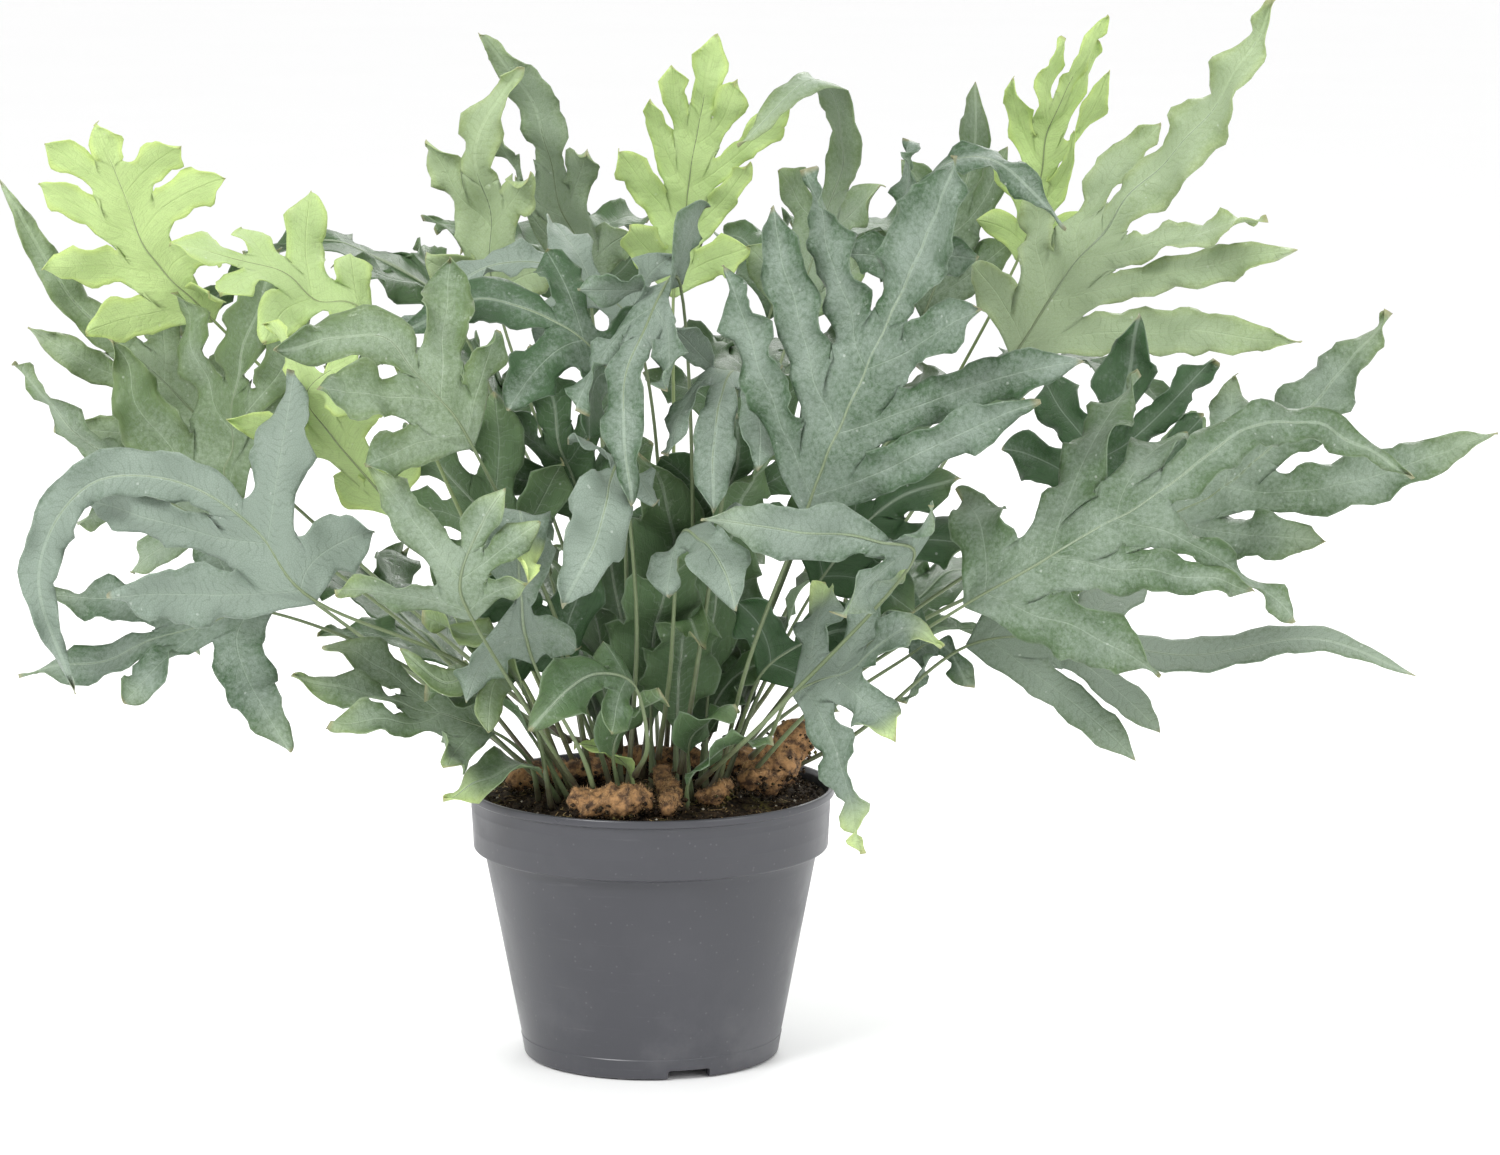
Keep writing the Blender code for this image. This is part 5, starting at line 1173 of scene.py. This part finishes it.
def add_stalk(thing, foot, move, span, curve, along, hub, across, buckles):
    """Join the round stalk, which thins along the blade and ends before its tip."""
    steps = np.r_[np.linspace(0.0, hub, 26), hub + (along[-1] - hub) * np.linspace(0.03, 0.95, 40)]
    line = at(curve, along, steps)
    heading = unit(np.gradient(line, axis=0))
    side = unit(at(across, along, steps))
    under = unit(np.cross(side, heading))
    radii = STALK_RADIUS * (1.0 - 0.42 * steps / hub + 0.35 * np.exp(-steps / 0.8))
    later = steps > hub
    radii[later] = STALK_RADIUS * 0.58 * (1.0 - (steps[later] - hub) / (along[-1] - hub)) ** 0.8 + 0.012
    line = line + under * (radii * 0.35 * ease((steps - hub) / 1.5))[:, None]
    points, faces, ring = tube(line, radii, 8, side[0])
    place = np.r_[np.repeat(steps, 8), steps[0], steps[-1]]
    points = np.where((place > hub)[:, None], buckles(points), points)
    points = settled(points, foot, move, span) * CM
    stalk = bpy.data.meshes.new("stalk")
    stalk.from_pydata(points.tolist(), [], faces)
    shares = np.clip(place / hub, 0.0, 2.0) / 2.0
    growth = np.stack([shares, shares, shares, np.ones(len(place))], axis=1)
    stalk.color_attributes.new("growth", "FLOAT_COLOR", "POINT").data.foreach_set(
        "color", growth.astype(np.float32).reshape(-1))
    stalk.polygons.foreach_set("material_index", np.full(len(faces), 2, dtype=np.int32))
    both = bmesh.new()
    both.from_mesh(thing.data)
    both.from_mesh(stalk)
    both.to_mesh(thing.data)
    both.free()
    bpy.data.meshes.remove(stalk)


def tree_of(points, faces):
    return BVHTree.FromPolygons(points.tolist(), faces)


def clear_away(thing):
    mesh = thing.data
    bpy.data.objects.remove(thing, do_unlink=True)
    bpy.data.meshes.remove(mesh)


def make_room(leaf, foot, span, others):
    """Move a small leaf by the gentlest change that clears all the others; tell whether there is one."""
    points = np.empty(len(leaf.data.vertices) * 3)
    leaf.data.vertices.foreach_get("co", points)
    points = points.reshape(-1, 3) / CM
    faces = [tuple(face.vertices) for face in leaf.data.polygons]
    for move in LEAF_MOVES:
        moved = settled(points, foot, move, span) * CM
        tree = tree_of(moved, faces)
        if not any(tree.overlap(other) for other in others):
            leaf.data.vertices.foreach_set("co", moved.reshape(-1))
            leaf.data.update()
            others.append(tree)
            return True
    return False


# leaf skin: pale midrib, slanting side veins and the fine net between them, from distances in centimetres
vein_group, wire, given, out = shader_group(
    "leaf_veins", [("Lobe", "vector", None), ("Rib", "vector", None), ("Spacing", "value", 0.42)],
    [("Midrib", "value"), ("Veins", "value"), ("Net", "value"), ("Relief", "value")])
lobe = wire("SeparateXYZ", None, i0=given["Lobe"])
rib = wire("SeparateXYZ", None, i0=given["Rib"])
wobble = wire("TexNoise", {"noise_dimensions": "2D"}, Vector=given["Lobe"], Scale=1.1,
              Detail=3.0).outputs["Fac"]
off = wire.math("ABSOLUTE", lobe.outputs["Y"])
slant = wire.math("SUBTRACT", lobe.outputs["X"], wire.math("MULTIPLY", off, 0.62))
slant = wire.math("ADD", slant, wire.math("MULTIPLY", wobble, 1.1))
phase = wire.math("FRACT", wire.math("DIVIDE", slant, given["Spacing"]), 0.0)
across = wire.math("ABSOLUTE", wire.math("SUBTRACT", phase, 0.5))
fade = wire.ramp(off, 0.9, 0.2, 0.35, 1.0)
veins = wire.math("MULTIPLY", wire.ramp(across, 0.02, 0.13, 1.0, 0.0), fade)
cells = wire("TexVoronoi", {"voronoi_dimensions": "2D", "feature": "DISTANCE_TO_EDGE"}, Vector=given["Lobe"],
             Scale=9.0)
net = wire.ramp(cells.outputs["Distance"], 0.01, 0.10, 1.0, 0.0)
own = wire.ramp(off, 0.012, 0.045, 1.0, 0.0)
trunk = wire.ramp(rib.outputs["Y"], 0.05, 0.11, 1.0, 0.0)
midrib = wire.math("MAXIMUM", own, trunk)
wire.feed(out["Midrib"], midrib)
wire.feed(out["Veins"], veins)
wire.feed(out["Net"], net)
relief = wire.math("ADD", wire.math("MULTIPLY", veins, -0.45), wire.math("MULTIPLY", net, -0.28))
quilt = wire.math("MULTIPLY", wire.math("SUBTRACT", 0.5, across), -0.3)
relief = wire.math("ADD", wire.math("ADD", relief, quilt), wire.math("MULTIPLY", midrib, -1.1))
wire.feed(out["Relief"], relief)

# leaf wax: the grey bloom, worn off in cloudy patches and along the margins, with scratches and water spots
wax_group, wire, given, out = shader_group(
    "leaf_wax", [("Position", "vector", None), ("Lobe", "vector", None), ("Margin", "value", 0.0),
                 ("Tone", "value", 0.5)],
    [("Wax", "value"), ("Spots", "value"), ("Streaks", "value")])
cloud = wire("TexNoise", None, Vector=given["Position"], Scale=34.0, Detail=5.0, Roughness=0.6).outputs["Fac"]
mottle = wire("TexNoise", None, Vector=given["Position"], Scale=520.0, Detail=3.0,
              Roughness=0.7).outputs["Fac"]
wax = wire.math("ADD", wire.math("MULTIPLY", cloud, 1.1), wire.math("MULTIPLY", mottle, 0.95))
# the frond's own tone adds wax; a low tone gives a darker green, which on the inner and back fronds is
# painted shade
wax = wire.math("ADD", wax, wire.math("MULTIPLY", given["Tone"], 1.25))
wax = wire.math("SUBTRACT", wax, 0.125)
wax = wire.math("SUBTRACT", wax, wire.math("MULTIPLY", wire.math("POWER", given["Margin"], 2.0), 0.30))
wire.feed(out["Wax"], wire.ramp(wax, 1.00, 1.76))
drops = wire("TexVoronoi", None, Vector=given["Position"], Scale=330.0)
chance = wire("SeparateColor", None, i0=drops.outputs["Color"])
spot = wire.math("MULTIPLY", wire.ramp(drops.outputs["Distance"], 0.14, 0.26, 1.0, 0.0),
                 wire.ramp(chance.outputs[1], 0.965, 0.98))
wire.feed(out["Spots"], spot)
drawn = wire("Mapping", {"vector_type": "POINT"}, Vector=given["Lobe"], Scale=(0.5, 9.0, 1.0)).outputs[0]
streaks = wire("TexNoise", {"noise_dimensions": "2D"}, Vector=drawn, Scale=2.2, Detail=4.0,
               Roughness=0.7).outputs["Fac"]
wire.feed(out["Streaks"], wire.ramp(streaks, 0.45, 0.75))


def leaf_skin(name, green, wax, fresh, rib, under, glow, gloss):
    """One side of the blades: green under wax, turning fresh green where the blade is young."""
    made, wire, end = finish(name)
    place = wire("NewGeometry").outputs["Position"]
    lobe = wire("UVMap", {"uv_map": "lobe"}).outputs[0]
    rib_map = wire("UVMap", {"uv_map": "midrib"}).outputs[0]
    grown = wire("VertexColor", {"layer_name": "growth"})
    parts = wire("SeparateColor", None, i0=grown.outputs["Color"])
    margin, tip, lime, tone = parts.outputs[0], parts.outputs[1], parts.outputs[2], grown.outputs["Alpha"]
    veins = use_group(wire, vein_group, Lobe=lobe, Rib=rib_map, Spacing=0.42)
    bloom = use_group(wire, wax_group, Position=place, Lobe=lobe, Margin=margin, Tone=tone)
    deep = tuple(c * 0.62 for c in green)
    colour = wire.mix(bloom["Streaks"], green, deep)
    colour = wire.mix(bloom["Wax"], colour, wax)
    young = wire.mix(bloom["Streaks"], fresh, tuple(c * 0.80 for c in fresh))
    edge = wire.math("MULTIPLY", wire.ramp(margin, 0.55, 1.0), 0.6)
    young = wire.mix(edge, young, (min(1.0, fresh[0] * 1.18), min(1.0, fresh[1] * 1.12), fresh[2] * 0.8))
    colour = wire.mix(lime, colour, young)
    pale = wire.mix(lime, rib, tuple(min(1.0, c * 1.12) for c in fresh))
    dark = wire.mix(lime, deep, tuple(c * 0.62 for c in fresh))
    colour = wire.mix(wire.math("MULTIPLY", veins["Veins"], 0.20), colour, pale if under else dark)
    colour = wire.mix(wire.math("MULTIPLY", veins["Net"], 0.30), colour, dark)
    # a paler band either side of each lobe's midrib: a painted sheen of the wax
    beside = wire.ramp(wire.math("ABSOLUTE", wire("SeparateXYZ", None, i0=lobe).outputs["Y"]), 0.02, 0.40,
                       0.08, 0.0)
    colour = wire.mix(beside, colour, pale)
    colour = wire.mix(wire.math("MULTIPLY", veins["Midrib"], 0.34), colour, pale)
    colour = wire.mix(wire.math("MULTIPLY", wire.ramp(margin, 0.93, 1.0), 0.24), colour, pale)
    colour = wire.mix(wire.math("MULTIPLY", bloom["Spots"], 0.26), colour, (0.80, 0.84, 0.78))
    # the last few millimetres of a tip dry out first
    dry = wire.math("MULTIPLY", wire.ramp(tip, 0.95, 1.0), 0.55)
    colour = wire.mix(dry, colour, (0.33, 0.27, 0.12))
    relief = wire.math("ADD", veins["Relief"], wire.math("MULTIPLY", bloom["Streaks"], 0.25))
    bump = wire("Bump", None, Strength=0.55 if not under else 0.75, Distance=0.0005, Height=relief)
    rough = wire.ramp(bloom["Wax"], 0.0, 1.0, gloss, gloss + 0.16)
    surface = wire("BsdfPrincipled", None,
                   **{"Base Color": colour, "Roughness": rough, "Normal": bump.outputs[0]})
    surface.inputs["Specular IOR Level"].default_value = 0.42
    through = wire("BsdfTranslucent", None, Color=wire.mix(0.5, colour, fresh, "MIX"), Normal=bump.outputs[0])
    both = wire("MixShader", None, i0=glow, i1=surface.outputs[0], i2=through.outputs[0])
    wire.feed(end.inputs["Surface"], both.outputs[0])
    return made


def stalk_skin(name, green, brown, tip):
    """The wiry stalk and midrib: brown at the foot, green above, finely ribbed lengthwise."""
    made, wire, end = finish(name)
    place = wire("NewGeometry").outputs["Position"]
    grown = wire("VertexColor", {"layer_name": "growth"})
    share = wire("SeparateColor", None, i0=grown.outputs["Color"]).outputs[0]
    cloud = wire("TexNoise", None, Vector=place, Scale=45.0, Detail=4.0, Roughness=0.7).outputs["Fac"]
    ribbed = wire("Mapping", {"vector_type": "POINT"}, Vector=place, Scale=(1.0, 1.0, 0.12)).outputs[0]
    fine = wire("TexNoise", None, Vector=ribbed, Scale=1900.0, Detail=2.0).outputs["Fac"]
    where = wire.math("ADD", share, wire.math("MULTIPLY", wire.math("SUBTRACT", cloud, 0.5), 0.35))
    colour = wire.mix(wire.ramp(where, 0.0, 0.16), brown, green)
    colour = wire.mix(wire.ramp(where, 0.45, 0.80), colour, tip)
    colour = wire.mix(wire.math("MULTIPLY", wire.ramp(fine, 0.35, 0.65), 0.35), colour,
                      tuple(c * 0.6 for c in green))
    bump = wire("Bump", None, Strength=0.3, Distance=0.0002, Height=fine)
    surface = wire("BsdfPrincipled", None, **{"Base Color": colour, "Normal": bump.outputs[0]})
    surface.inputs["Roughness"].default_value = 0.42
    wire.feed(end.inputs["Surface"], surface.outputs[0])
    return made


FRESH = (0.60, 0.76, 0.33)
skins = {
    "mature": [
        leaf_skin("mature_leaf_top", (0.046, 0.106, 0.040), (0.246, 0.312, 0.256), FRESH, (0.40, 0.49, 0.39),
                  False, 0.10, 0.31),
        leaf_skin("mature_leaf_under", (0.080, 0.155, 0.066), (0.250, 0.315, 0.258), FRESH,
                  (0.42, 0.51, 0.41), True, 0.10, 0.55),
        stalk_skin("mature_stalk", (0.165, 0.215, 0.105), (0.085, 0.060, 0.040), (0.27, 0.34, 0.24))],
    "lime": [
        leaf_skin("young_leaf_top", (0.25, 0.42, 0.12), (0.42, 0.56, 0.30), FRESH, (0.46, 0.60, 0.26),
                  False, 0.26, 0.40),
        leaf_skin("young_leaf_under", (0.30, 0.47, 0.16), (0.44, 0.58, 0.32), FRESH, (0.50, 0.64, 0.30),
                  True, 0.26, 0.50),
        stalk_skin("young_stalk", (0.24, 0.31, 0.13), (0.095, 0.070, 0.045), (0.20, 0.26, 0.13))],
}
# how grey the wax is on a frond, how fresh its green and its lobe tips are; low wax on inner fronds is
# painted shade
HABIT = {
    "frond_front_broad": (0.50, 0.0, 0.0), "frond_front_low": (0.62, 0.0, 0.1),
    "frond_right_main": (0.42, 0.05, 0.1), "frond_left_main": (0.78, 0.0, 0.0),
    "frond_left_low": (0.50, 0.0, 0.1), "frond_left_rim": (0.45, 0.1, 0.3),
    "frond_fold_lime": (0.62, 0.0, 1.0), "frond_light_hang": (0.85, 0.0, 0.0),
    "frond_centre_low": (0.22, 0.05, 0.1), "frond_hang_long": (0.55, 0.0, 0.0),
    "frond_centre_wave": (0.60, 0.0, 0.0), "frond_centre_grey": (0.72, 0.0, 0.0),
    "frond_rim_right": (0.62, 0.0, 0.75), "frond_right_droop": (0.45, 0.0, 0.1),
    "frond_right_low": (0.68, 0.05, 0.1), "frond_right_tip": (0.50, 0.05, 0.2),
    "frond_top_right": (0.66, 0.35, 0.45), "frond_dark_right": (0.15, 0.0, 0.0),
    "frond_arch_right": (0.45, 0.0, 0.0), "frond_back_right": (0.35, 0.1, 0.2),
    "frond_arch_top": (0.50, 0.15, 0.3), "frond_strip_tall": (0.60, 0.40, 0.45),
    "frond_strip_high": (0.60, 0.15, 0.3), "frond_arch_grey": (0.85, 0.0, 0.0),
    "frond_arch_dark": (0.25, 0.0, 0.0), "frond_olive_arch": (0.42, 0.15, 0.1),
    "frond_left_broad": (0.30, 0.15, 0.2), "frond_left_twist": (0.45, 0.2, 0.3),
    "frond_left_thin": (0.55, 0.1, 0.2), "frond_small_left": (0.45, 0.2, 0.3),
    "frond_curly_left": (0.50, 0.1, 0.3), "frond_lime_left": (0.5, 0.95, 1.0),
    "frond_lime_fold": (0.6, 0.58, 0.72), "frond_lime_top": (0.55, 0.72, 0.95),
    "frond_lime_right": (0.5, 0.85, 0.9), "frond_lime_curl": (0.4, 0.85, 0.9),
    "simple_leaf_4": (0.3, 0.5, 0.8), "simple_leaf_7": (0.4, 0.1, 0.8),
    # the inner fronds take a low wax, so a darker green: painted shade in the middle of the crown
    "simple_leaf_5": (0.3, 0.25, 0.3), "frond_inner_left": (-0.20, 0.05, 0.1),
    "frond_inner_high": (0.15, 0.0, 0.1), "frond_inner_centre": (-0.40, 0.0, 0.0),
    "frond_inner_right": (-0.20, 0.0, 0.1), "frond_inner_low": (0.0, 0.0, 0.0),
    "frond_inner_front": (0.10, 0.0, 0.1),
}
LIME_TIP = ("frond_fold_lime",)


# how strong the ruffles and buckles of a frond are, try after try
CALMER = (1.0, 0.85, 0.7, 0.55, 0.4, 0.25, 0.1, 0.0)
LEAF_SEED, RETRY_SEED = 700, 100
standing = []
for number, row in enumerate(FRONDS + YOUNG_LEAVES):
    name, tone, place = row[:3]
    fx, fy = place[0] * pot_scale, place[1] * pot_scale
    fz = surface_under(fx, fy) + 0.5 * MM
    scaled = list(row)
    lift = np.array([0.0, 0.0, SOIL_EDGE / CM])
    for column in (8, 9):
        scaled[column] = [np.array(p) + lift for p in row[column]]
    scaled[10] = [tuple(None if p is None else np.array(p) + lift for p in pair) for pair in row[10]]
    foot = np.array([fx, fy, fz]) / CM
    # fronds and leaves not listed, most round the back and in the middle, take a low wax and so a darker
    # green: painted shade
    wax, fresh, fresh_tip = HABIT.get(name, (0.1 * (number % 5) - 0.2, 0.04, 0.10))
    youth = (fresh, fresh_tip, name in LIME_TIP)
    # a frond that would cut through one before it grows with calmer ruffles instead
    for attempt, calm in enumerate(CALMER):
        rng = np.random.default_rng(LEAF_SEED + number + RETRY_SEED * attempt)
        frond, span = frond_mesh("leafy_" + name, foot, scaled, rng, calm, youth, wax)
        if row in YOUNG_LEAVES:
            break
        tree = tree_of(np.array([v.co for v in frond.data.vertices]),
                       [tuple(face.vertices) for face in frond.data.polygons])
        if calm == CALMER[-1] or not any(tree.overlap(other) for other in standing):
            standing.append(tree)
            break
        clear_away(frond)
    # a small leaf that finds no clear place is left out
    if row in YOUNG_LEAVES and not make_room(frond, foot, span, standing):
        clear_away(frond)
        continue
    for slot, skin in enumerate(skins[tone]):
        frond.data.materials[slot] = skin
    if row in FRONDS:
        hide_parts(name)
    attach(frond, "root")


# ---- Setting ----
# A plain pale floor and soft light from every side, with one broad lamp above and to the left, as in a light
# box.  The floor isn't part of the plant.
FLOOR_HALF = 30.0
points = [(-FLOOR_HALF, -FLOOR_HALF, 0.0), (FLOOR_HALF, -FLOOR_HALF, 0.0),
          (FLOOR_HALF, FLOOR_HALF, 0.0), (-FLOOR_HALF, FLOOR_HALF, 0.0)]
mesh = bpy.data.meshes.new("floor")
mesh.from_pydata(points, [], [(0, 1, 2, 3)])
mesh.update()
floor = show("floor", mesh)
floor.location.z = -0.0005
pale, wire, end = finish("pale_floor")
place = wire("NewGeometry").outputs["Position"]
cloud = wire("TexNoise", None, Vector=place, Scale=3.0, Detail=3.0).outputs["Fac"]
colour = wire.mix(cloud, (0.975, 0.975, 0.975), (0.995, 0.995, 0.995))
surface = wire("BsdfPrincipled", None, **{"Base Color": colour})
surface.inputs["Roughness"].default_value = 0.6
surface.inputs["Specular IOR Level"].default_value = 0.2
wire.feed(end.inputs["Surface"], surface.outputs[0])
floor.data.materials.append(pale)


def add_lamp(name, place, aim, size, power):
    lamp = bpy.data.lights.new(name, "AREA")
    lamp.shape = "RECTANGLE"
    lamp.size, lamp.size_y = size
    lamp.energy = power
    holder = bpy.data.objects.new(name, lamp)
    bpy.context.scene.collection.objects.link(holder)
    holder.location = place
    holder.rotation_euler = (Vector(aim) - Vector(place)).to_track_quat("-Z", "Y").to_euler()


add_lamp("key_light", (-1.3, -1.6, 1.9), (0.0, 0.0, 0.28), (1.0, 0.8), 42.0)
add_lamp("fill_light", (1.8, -1.5, 1.0), (0.0, 0.0, 0.25), (1.0, 1.0), 14.0)
add_lamp("back_light", (0.6, 1.8, 1.6), (0.0, 0.0, 0.30), (1.4, 0.9), 24.0)
world = bpy.data.worlds.new("light_box")
world.use_nodes = True
world.node_tree.nodes["Background"].inputs["Color"].default_value = (1.0, 1.0, 1.0, 1.0)
world.node_tree.nodes["Background"].inputs["Strength"].default_value = 1.0
bpy.context.scene.world = world
bpy.context.scene.view_settings.view_transform = "Standard"

AIM = Vector((0.046, 0.0, 0.223))
ELEVATION = math.radians(9.2)
CAMERA_DISTANCE = 2.5
lens = bpy.data.cameras.new("camera")
lens.sensor_width = 36.0
lens.lens = 130.2
lens.clip_end = 50.0
camera = bpy.data.objects.new("camera", lens)
bpy.context.scene.collection.objects.link(camera)
camera.location = AIM + CAMERA_DISTANCE * Vector((0.0, -math.cos(ELEVATION), math.sin(ELEVATION)))
camera.rotation_euler = (AIM - camera.location).to_track_quat("-Z", "Y").to_euler()
bpy.context.scene.camera = camera
